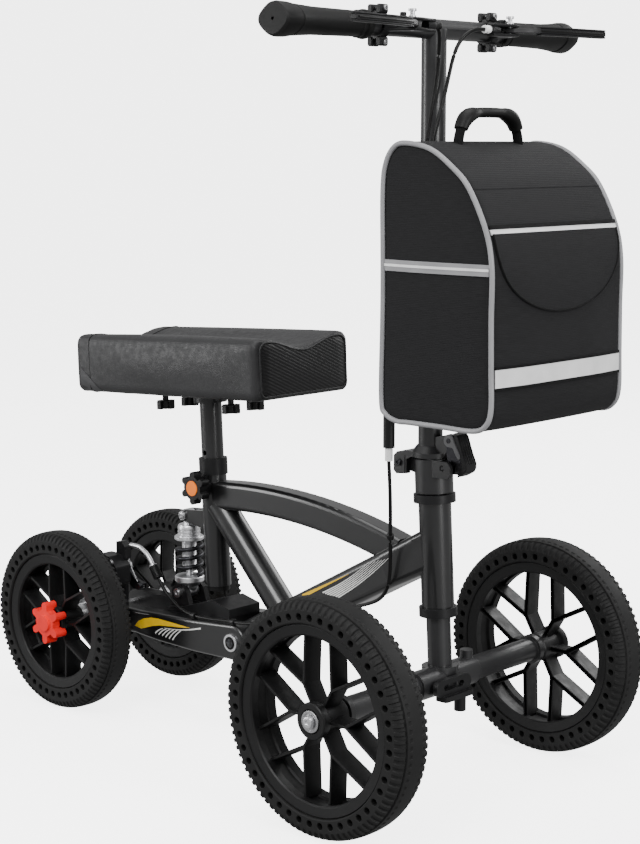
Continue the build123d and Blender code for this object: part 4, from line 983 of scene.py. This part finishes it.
def make_levers():
    """Split bar clamps, lever brackets, channel-shaped lever blades and cable adjusters."""
    for side, hand in HANDS:
        clamp_y = side * 106
        ring = [(16.2, -6), (16.8, -5.2), (16.8, 5.2), (16.2, 6), (12.55, 6), (12.55, -6)]
        nodes = ["lever_brackets"] if side == RIGHT else []
        cast(f"clamp_ring_{hand}", turned(ring, (STEM_X, clamp_y, BAR_Z), (0, 1, 0)), "stem", *nodes)
        for up, height in ((1, "top"), (-1, "low")):
            for front, name in ((1, "front"), (-1, "back")):
                ear = round_outline(STEM_X + front * 7.0, BAR_Z + up * 19.2, 8.6, 11.6, 3.2)
                ear = block(ear, clamp_y - 7.4, clamp_y + 7.4, "xz", 1.4)
                cast(f"clamp_ear_{name}_{height}_{hand}", ear, "stem")
            shank = turned([(0.01, -6), (1.8, -6), (1.8, 6), (0.01, 6)], (STEM_X, clamp_y, BAR_Z + up * 20),
                           (1, 0, 0), 16)
            add(f"clamp_shank_{height}_{hand}", shank, STEEL, "stem", "silver_alloy")
            place = (STEM_X + 11.2, clamp_y, BAR_Z + up * 20)
            bolt_head(f"clamp_bolt_{height}_{hand}", place, (1, 0, 0), 3.4, "stem", STEEL, 3.0)
        arm = [(287, 100), (288, 112), (303, 112), (318, 108), (332, 101), (333.5, 90), (329, 72),
               (327, 56), (315, 56), (312, 72), (309, 86), (300, 94)]
        arm = [(x, side * y) for x, y in arm]
        for name, low, high in (("top", 4.2, 7.8), ("low", -7.8, -4.2)):
            cast(f"lever_bracket_{name}_{hand}", block(arm, BAR_Z + low, BAR_Z + high, "xy", 1.2), "stem")
        back = [(287, 100), (288, 112), (303, 112), (310, 110), (309, 97), (301, 95)]
        back = [(x, side * y) for x, y in back]
        cast(f"lever_bracket_web_{hand}", block(back, BAR_Z - 5, BAR_Z + 5, "xy", 0.8), "stem")
        nose = [(0.01, -8), (6.2, -8), (6.8, -6), (6.8, 4), (5.4, 6), (5.4, 8), (0.01, 8)]
        cast(f"cable_stop_{hand}", turned(nose, (321, side * 62, BAR_Z), (0, -side, 0), 28), "stem")
        adjuster = [(0.01, 0), (4.6, 0), (5.0, 1), (5.0, 4), (4.0, 4.6), (4.4, 7.5), (5.2, 9.5),
                    (4.9, 10.5), (2.6, 10.5), (0.01, 10.4)]
        look, slot = (WHITE_PLASTIC, "white_plastic") if side == LEFT else (BLACK_PLASTIC, "black_plastic")
        adjuster = turned(adjuster, (321, side * 54.2, BAR_Z), (0, -side, 0), 20)
        add(f"cable_adjuster_{hand}", adjuster, look, "stem", slot)
        outer = [(328, 90, 0), (347.5, 120, 0), (356.5, 159, 0), (362, 204, 0), (365.5, 243, 0)]
        inner = [(357.5, 243, 0), (353.5, 206, 0), (347, 161, 0), (336, 124, 0), (316, 100, 0)]
        outer, inner = curve_points(outer, 7), curve_points(inner, 7)
        hinge = [(314.5, 95, 0), (316.5, 89, 0), (322, 87, 0)]
        name, body = f"lever_blade_{hand}", f"brake_lever_{hand}"
        outline = [(p[0], side * p[1]) for p in outer + inner + hinge]
        cast(name, block(outline, BAR_Z - 3.4, BAR_Z + 3.4, "xy", 1.0), body, body)
        # the blade is a channel: two rolled flanges joined by the web
        rim = [p for p in outer if p[1] > 122] + [p for p in inner if p[1] > 125]
        rim = [(p[0], side * p[1]) for p in rim]
        for label, low, high in (("top", 3.2, 5.6), ("low", -5.6, -3.2)):
            cast(f"{name}_{label}", block(rim, BAR_Z + low, BAR_Z + high, "xy", 0.8), body)
        groove = [(p[0] - 0.6, side * p[1], BAR_Z) for p in outer if 124 < p[1] < 241]
        groove = smooth_tube(groove, [(1.6, 1.9)] * len(groove), 8)
        add(f"{name}_groove", groove, JACKET, body, "black_alloy")


def make_latch():
    """The stem's quick-release: grey hooked side plates, a black disc of painted shade in their hinge hole
    and a solid ribbed blade.
    """
    plate = arc(316.5, 468, 8.4, 40, 281)
    plate += [(323, 459), (328.5, 450), (332, 445), (335, 446.5), (334, 452), (329.5, 460), (325.5, 467)]
    for name, low, high in (("right", -12.4, -10.0), ("left", 10.0, 12.4)):
        nodes = ["latch_lever"] if name == "right" else []
        add(f"latch_plate_{name}", block(plate, low, high, "xz", 0.6), LIGHT_CAST, "latch_lever",
            "black_alloy", *nodes)
    inner = [(311, 452), (313.8, 438), (321, 435.5), (326, 438), (333, 438), (336, 444), (330, 459),
             (322, 470), (312, 466)]
    for name, low, high in (("right", -10.0, -8.8), ("left", 8.8, 10.0)):
        add(f"latch_link_plate_{name}", block(inner, low, high, "xz", 0.3), DARK_STEEL, "latch_lever",
            "black_steel")
    # a black disc stands for the shade inside the hinge hole: painted shade
    hole = turned([(0.01, 0), (2.7, 0), (2.7, 0.5), (3.3, 0.5), (3.3, -1), (0.01, -1)], (316.5, -12.3, 468),
                  (0, -1, 0), 24)
    add("latch_hinge_hole_shade", hole, JACKET, "latch_lever", "black_plastic")
    outline = [(323.5, 470), (325, 476.8), (328.5, 476.6), (331.5, 473.5), (335, 464.5), (338.2, 454.5),
               (342, 447), (345.2, 440), (345, 434), (342, 428.6), (334.5, 424.3), (329.2, 421.8),
               (332.5, 431), (336.5, 441), (332, 454.5)]
    cast("latch_blade", block(outline, -10.8, 10.8, "xz", 1.0), "latch_lever")
    for i in range(5):
        knots = [(330.5, 474.5), (336.6, 460), (340.5, 450.5), (345.4, 440)]
        rib = curve_points([(x, -8.4 + 4.2 * i, z) for x, z in knots], 5)
        cast(f"latch_rib_{i}", smooth_tube(rib, 0.8, 6), "latch_lever")
    # the mark on the catch's cheek, and black strips of painted shade in the saw cuts of the rear lug
    mark = [(x, -20.6, z) for x, z in arc(312.5, 433, 2.9, 70, 331)]
    add("catch_mark", smooth_tube(mark, 0.9, 6, about=(0, 1, 0)), JACKET, "steering", "black_plastic")
    for side, hand in HANDS:
        cut = [(250.5, side * 20.15, z) for z in (420, 431, 443)]
        add(f"lug_cut_shade_{hand}", smooth_tube(cut, [(0.8, 0.35)] * 3, 6), JACKET, "stem", "frame_paint")
        bolt_head(f"fold_pin_{hand}", (240, side * 20.8, 432.6), (0, side, 0), 4.6, "stem", DARK_STEEL, 2.0)


def blended(name, mesh, look, slot, body_a, body_b, start, end, *nodes):
    """A piece baked in place in world space, on no body."""
    piece = linked(bpy.data.objects.new(name, mesh))
    mesh.name = name
    mesh.materials.append(look)
    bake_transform(piece)
    if nodes:
        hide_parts(*nodes)


SHOCK_X, EYE_TOP, EYE_LOW = -187.0, 300.0, 185.0
COIL_LOW, COIL_RISE, COIL_R, COIL_WIRE, COIL_TURNS = 211.2, 47.6, 18.5, 3.2, 3.5


def make_shock():
    """The damper's bright alloy parts and its coil spring."""
    cap = [(0.01, 268), (16.8, 268), (16.8, 271), (15.4, 271.6), (15.4, 273), (16.8, 273.6), (16.8, 276),
           (15.4, 276.6), (15.4, 278), (16.8, 278.6), (16.8, 282), (15.2, 285), (0.01, 286)]
    collar = [(11, 268), (20.4, 268), (21.8, 266.8), (21.8, 263.6), (20.8, 262.4), (11, 262.4)]
    threads = [(5.1, 222.5)]
    for i in range(25):
        threads += [(10.2, 222.5 + 1.6 * i), (10.9, 223.3 + 1.6 * i)]
    threads += [(10.2, 262.5), (5.1, 262.5)]
    axis = (SHOCK_X, 0, 0), (0, 0, 1)
    silver("shock_cap", cap, *axis, 40, "shock_body", "shock_body")
    silver("shock_collar", collar, *axis, 40, "shock_body")
    silver("shock_thread", threads, *axis, 36, "shock_body")
    neck = block(round_outline(SHOCK_X, 0, 13, 14.4, 4), 284, 297, "xy", 0.8)
    add("shock_neck", neck, SILVER, "shock_body", "silver_alloy")
    eye = [(4.1, -7.4), (8.2, -7.4), (9, -6.6), (9, 6.6), (8.2, 7.4), (4.1, 7.4)]
    silver("shock_eye_top", eye, (SHOCK_X, 0, EYE_TOP), (0, 1, 0), 32, "shock_body")
    eye_low = [(4.3, -11.8), (8.2, -11.8), (9, -11), (9, 11), (8.2, 11.8), (4.3, 11.8)]
    silver("shock_eye_low", eye_low, (SHOCK_X, 0, EYE_LOW), (0, 1, 0), 32, "shock_rod", "shock_rod")
    seat = [(0.01, 184), (8.5, 184), (10.6, 187), (12, 192), (18.6, 197), (21.8, 200.5), (21.8, 206.5),
            (20.6, 207.8), (5, 207.8), (5, 247.5), (0.01, 248)]
    silver("shock_seat", seat, *axis, 40, "shock_rod")
    # the coil, a wound tube baked in place between the collar and the seat
    steps = 112
    line = []
    for i in range(steps + 1):
        turn = COIL_TURNS * tau * i / steps
        line.append((SHOCK_X + COIL_R * cos(turn), COIL_R * sin(turn), COIL_LOW + COIL_RISE * i / steps))
    ends = (SHOCK_X * MM, 0, 0.262), (SHOCK_X * MM, 0, 0.208)
    blended("shock_coil", smooth_tube(line, COIL_WIRE, 14), DARK_STEEL, "black_steel", "shock_body",
            "shock_rod", *ends, "shock_spring")
    for name, z, y, body in (("top", EYE_TOP, 14.5, "frame"), ("low", EYE_LOW, 25.8, "swingarm")):
        for side, hand in HANDS:
            place = (SHOCK_X, side * y, z)
            bolt_head(f"shock_nut_{name}_{hand}", place, (0, side, 0), 5.0, body, STEEL, 1.6)


def make_axle_ends():
    """Turned faces of the pivot axle, black as painted shade in their groove, and of the front wheels'
    screws.
    """
    for side, hand in HANDS:
        # a black ring stands for the shade in the groove at the pivot axle's end: painted shade
        groove_shade = [(6.0, 0), (6.0, 0.25), (9.4, 0.25), (9.4, 0)]
        add(f"pivot_groove_shade_{hand}", turned(groove_shade, (-41, side * 58, 143), (0, side, 0), 40),
            JACKET, "frame", "black_plastic")
        hub = (300, side * 253.4, 150)
        shield = [(10.2, -5.0), (10.2, -3.0), (10.8, -2.2), (13.4, -2.2), (14.0, -3.0), (14.0, -5.0)]
        add(f"hub_ring_{hand}", turned(shield, hub, (0, side, 0), 40), STEEL,
            f"front_wheel_{hand}", "zinc_steel")
        bolt_head(f"hub_screw_{hand}", hub, (0, side, 0), 6.8, "steering", SILVER, 2.2)


def make_brake():
    """Screws, springs and the cable's adjuster on the brake caliper."""
    for i, (x, z) in enumerate(((-306, 204), (-302, 228), (-266, 228), (-280, 160), (-286, 178))):
        y = -83.8 if i < 3 else -62.8
        bolt_head(f"brake_screw_{i}", (x, y, z), (0, -1, 0), 4.4, "swingarm", STEEL, 3.0)
        inside = (x, -56.2 if i < 3 else -55.2, z)
        bolt_head(f"brake_screw_in_{i}", inside, (0, 1, 0), 3.6, "swingarm", DARK_STEEL, 1.2)
    plate = round_outline(-286, 209, 40, 30, 8)
    add("brake_cover", block(plate, -86.6, -83.9, "xz", 1.0), CAST, "swingarm", "black_alloy")
    bolt_head("brake_pad_adjuster", (-285, -86.4, 210), (0, -1, 0), 8.0, "swingarm", DARK_STEEL, 2.4)
    spring = []
    for i in range(73):
        angle = tau * i / 12
        spring.append((-285 + 8.2 * cos(angle), -38.6 + 0.38 * i / 6, 212 + 8.2 * sin(angle)))
    add("brake_spring", smooth_tube(spring, 0.8, 6), STEEL, "caliper_arm", "silver_alloy")
    bolt_head("brake_cable_screw", (-243, -45.8, 190), (0, 1, 0), 4.6, "caliper_arm", STEEL, 3.0)
    # bare inner wire from the guide pipe to the arm's clamp
    wire = curve_points([(-262, -50, 249.5), (-268, -50, 238), (-262, -50, 218), (-247, -50, 196)], 5)
    add("brake_wire", smooth_tube(wire, 0.8, 6), STEEL, "swingarm", "silver_alloy")
    ribs = []
    for i in range(9):
        ribs += [(6.6, i * 2.2), (7.3, i * 2.2 + 0.5), (7.3, i * 2.2 + 1.6), (6.6, i * 2.2 + 2.1)]
    profile = [(3.5, 0)] + ribs + [(3.5, 20)]
    along = Vector((-9.5, 0, 13.4)).normalized()
    boot = turned(profile, Vector((-200.5, -50, 210.6)) - along * 1.0, along, 28)
    add("noodle_boot", boot, BLACK_PLASTIC, "swingarm", "black_plastic")


def clip(name, place, axis, body):
    """A small cable clip: a plain turned ring."""
    ring = [(2.6, -3.5), (4.4, -3.5), (4.8, -3), (4.8, 3), (4.4, 3.5), (2.6, 3.5)]
    add(name, turned(ring, place, axis, 20), BLACK_PLASTIC, body, "black_plastic")


# ---- brake cables ---------------------------------------------------------------------------
CABLE_R = 2.5
COLUMN_Z, PIVOT_X = 409, -4                # where the frame's cable passes from one joint to the next
RIGHT_CABLE = [(321, -54, 983), (320.5, -44, 981), (316, -37, 969), (309, -30, 950), (303, -26, 920),
               (298.5, -30, 884), (296, -37, 840), (294, -48, 790), (290, -58, 735), (284, -66, 678),
               (276, -71, 620), (270, -74, 565), (268, -75, 528)]
LEFT_CABLE = [(321, 54, 983), (321, 38, 983), (320, 22, 981), (316, 9, 973), (312, 1, 960),
              (308.5, -3, 944), (305.5, -6, 924), (303, -11, 900), (301.5, -22, 868), (300.5, -36, 826),
              (299, -49, 778), (295, -60, 722), (289, -69, 664), (281, -75, 608), (275.5, -76, 560),
              (274, -75, 528)]
FRAME_CABLE = [(271, -75, 444), (271.5, -73.5, 418), (265.5, -65.5, 392), (254.5, -52.5, 365),
               (245, -41.5, 338), (239.5, -35, 308), (237.5, -33.5, 282), (232, -33.5, 261),
               (218, -33.5, 246), (194, -34, 236), (158, -35, 224), (118, -37, 211), (78, -41, 199),
               (40, -47, 188), (6, -51, 179), (-22, -52.5, 174), (-28, -52.5, 173.8), (-52, -52, 172),
               (-82, -51, 168.5), (-112, -50, 166), (-136, -50, 167), (-158, -50, 173.5), (-176, -50, 184),
               (-190, -50, 196), (-200, -50, 210)]


def cable_line(points):
    """The smooth line of a cable's route, in millimetres."""
    curve = bpy.data.curves.new("route", "CURVE")
    curve.dimensions = "3D"
    curve.resolution_u = 5
    spline = curve.splines.new("NURBS")
    spline.points.add(len(points) - 1)
    for made, point in zip(spline.points, points):
        made.co = (*(Vector(point) * MM), 1)
    spline.order_u = 3
    spline.use_endpoint_u = True
    route = linked(bpy.data.objects.new("route", curve))
    places = [v.co / MM for v in applied(route).vertices]
    bpy.data.objects.remove(route)
    return places


def make_cables():
    """The lever cables, and the brake cable in three pieces, split at the stem's, steering's and swingarm's
    joints.
    """
    for name, route, nodes in (("right", RIGHT_CABLE, ["lever_cables"]), ("left", LEFT_CABLE, [])):
        tube = smooth_tube(cable_line(route), CABLE_R, 10)
        add(f"lever_cable_{name}", tube, JACKET, "stem", "cable_jacket", *nodes)
    line = cable_line(FRAME_CABLE)
    high = [p for p in line if p.z >= COLUMN_Z]
    low = [p for p in line if p.x < PIVOT_X]
    middle = [p for p in line if p.z < COLUMN_Z and p.x >= PIVOT_X]
    for name, points, body_a, body_b, start, end, nodes in (
            ("stem_cable", high + middle[:1], "stem", "steering", (0.271, -0.074, 0.444),
             (0.2705, -0.072, 0.412), ["frame_cable"]),
            ("steering_cable", middle, "steering", "frame", (0.270, -0.071, 0.408),
             (0.244, -0.041, 0.336), []),
            ("swingarm_cable", middle[-1:] + low, "frame", "swingarm", (-0.006, -0.052, 0.176),
             (-0.062, -0.052, 0.171), ["rear_cable"])):
        tube = smooth_tube(points, CABLE_R, 10)
        blended(name, tube, JACKET, "cable_jacket", body_a, body_b, start, end, *nodes)
    clip("cable_clip_beam", (245, -41.5, 338), (0.28, -0.3, 1), "frame")
    clip("cable_clip_arm", (-124, -50, 166.3), (1, 0, 0.02), "swingarm")
    clip("cable_clip_arm_front", (-40, -52.2, 172.7), (1, 0, 0.05), "swingarm")


# ---- printed decals --------------------------------------------------------------------------
def film(name, outline, y, look, body):
    """A printed film on a face that looks to the side."""
    add(name, block(outline, y - 0.12, y + 0.12, "xz", 0.05), look, body, "white_plastic")


def taper(start, end, wide, narrow, bow=0.0):
    """A long tapering stroke between two points, bowed sideways."""
    start, end = Vector(start), Vector(end)
    along = end - start
    across = Vector((-along.y, along.x)).normalized()
    upper, lower = [], []
    for i in range(11):
        t = i / 10
        middle = start + along * t + across * bow * sin(pi * t)
        half = across * (wide * (1 - t) + narrow * t) / 2
        upper.append(tuple(middle + half))
        lower.append(tuple(middle - half))
    return upper + lower[::-1]


def make_decals():
    """Yellow and white stripes on both sides of the lower beam and the swingarm."""
    for side, hand in HANDS:
        beam_y, arm_y = side * 28.3, side * 55.25
        film(f"beam_yellow_{hand}", taper((74, 226), (160, 271.5), 5.2, 0.4), beam_y, YELLOW, "frame")
        for i in range(7):
            t = i / 6
            line = taper((112 + 26 * t, 237.5 - 3.5 * t), (196 + 34 * t, 293 + 11 * t), 1.9, 0.5, -3.0)
            film(f"beam_line_{i}_{hand}", line, beam_y, WHITE_DECAL, "frame")
        swoosh = [(-249, 129.5), (-241, 138), (-228, 144.5), (-212, 148.6), (-196, 149.8), (-170, 149.6),
                  (-146, 149.0), (-127, 148.6), (-150, 145.2), (-172, 142.6), (-192, 140.2), (-208, 136.6),
                  (-222, 131.8), (-234, 127.5)]
        film(f"arm_yellow_{hand}", swoosh, arm_y, YELLOW, "swingarm")
        for i in range(6):
            t = i / 5
            line = taper((-203 + 38 * t, 126.5 - 3.0 * t), (-186 + 40 * t, 136.8 + 4.5 * t), 2.2, 1.4, 1.2)
            film(f"arm_line_{i}_{hand}", line, arm_y, WHITE_DECAL, "swingarm")
        line = taper((-183, 138.2), (-104, 152.2), 0.5, 2.4, -2.6)
        film(f"arm_white_{hand}", line, arm_y, WHITE_DECAL, "swingarm")


make_camera()
make_lights()
make_floor(FLOOR)
for make in (make_wheels, make_pad, make_bag, make_grips, make_levers, make_latch, make_shock,
             make_axle_ends, make_brake, make_cables, make_decals):
    make()
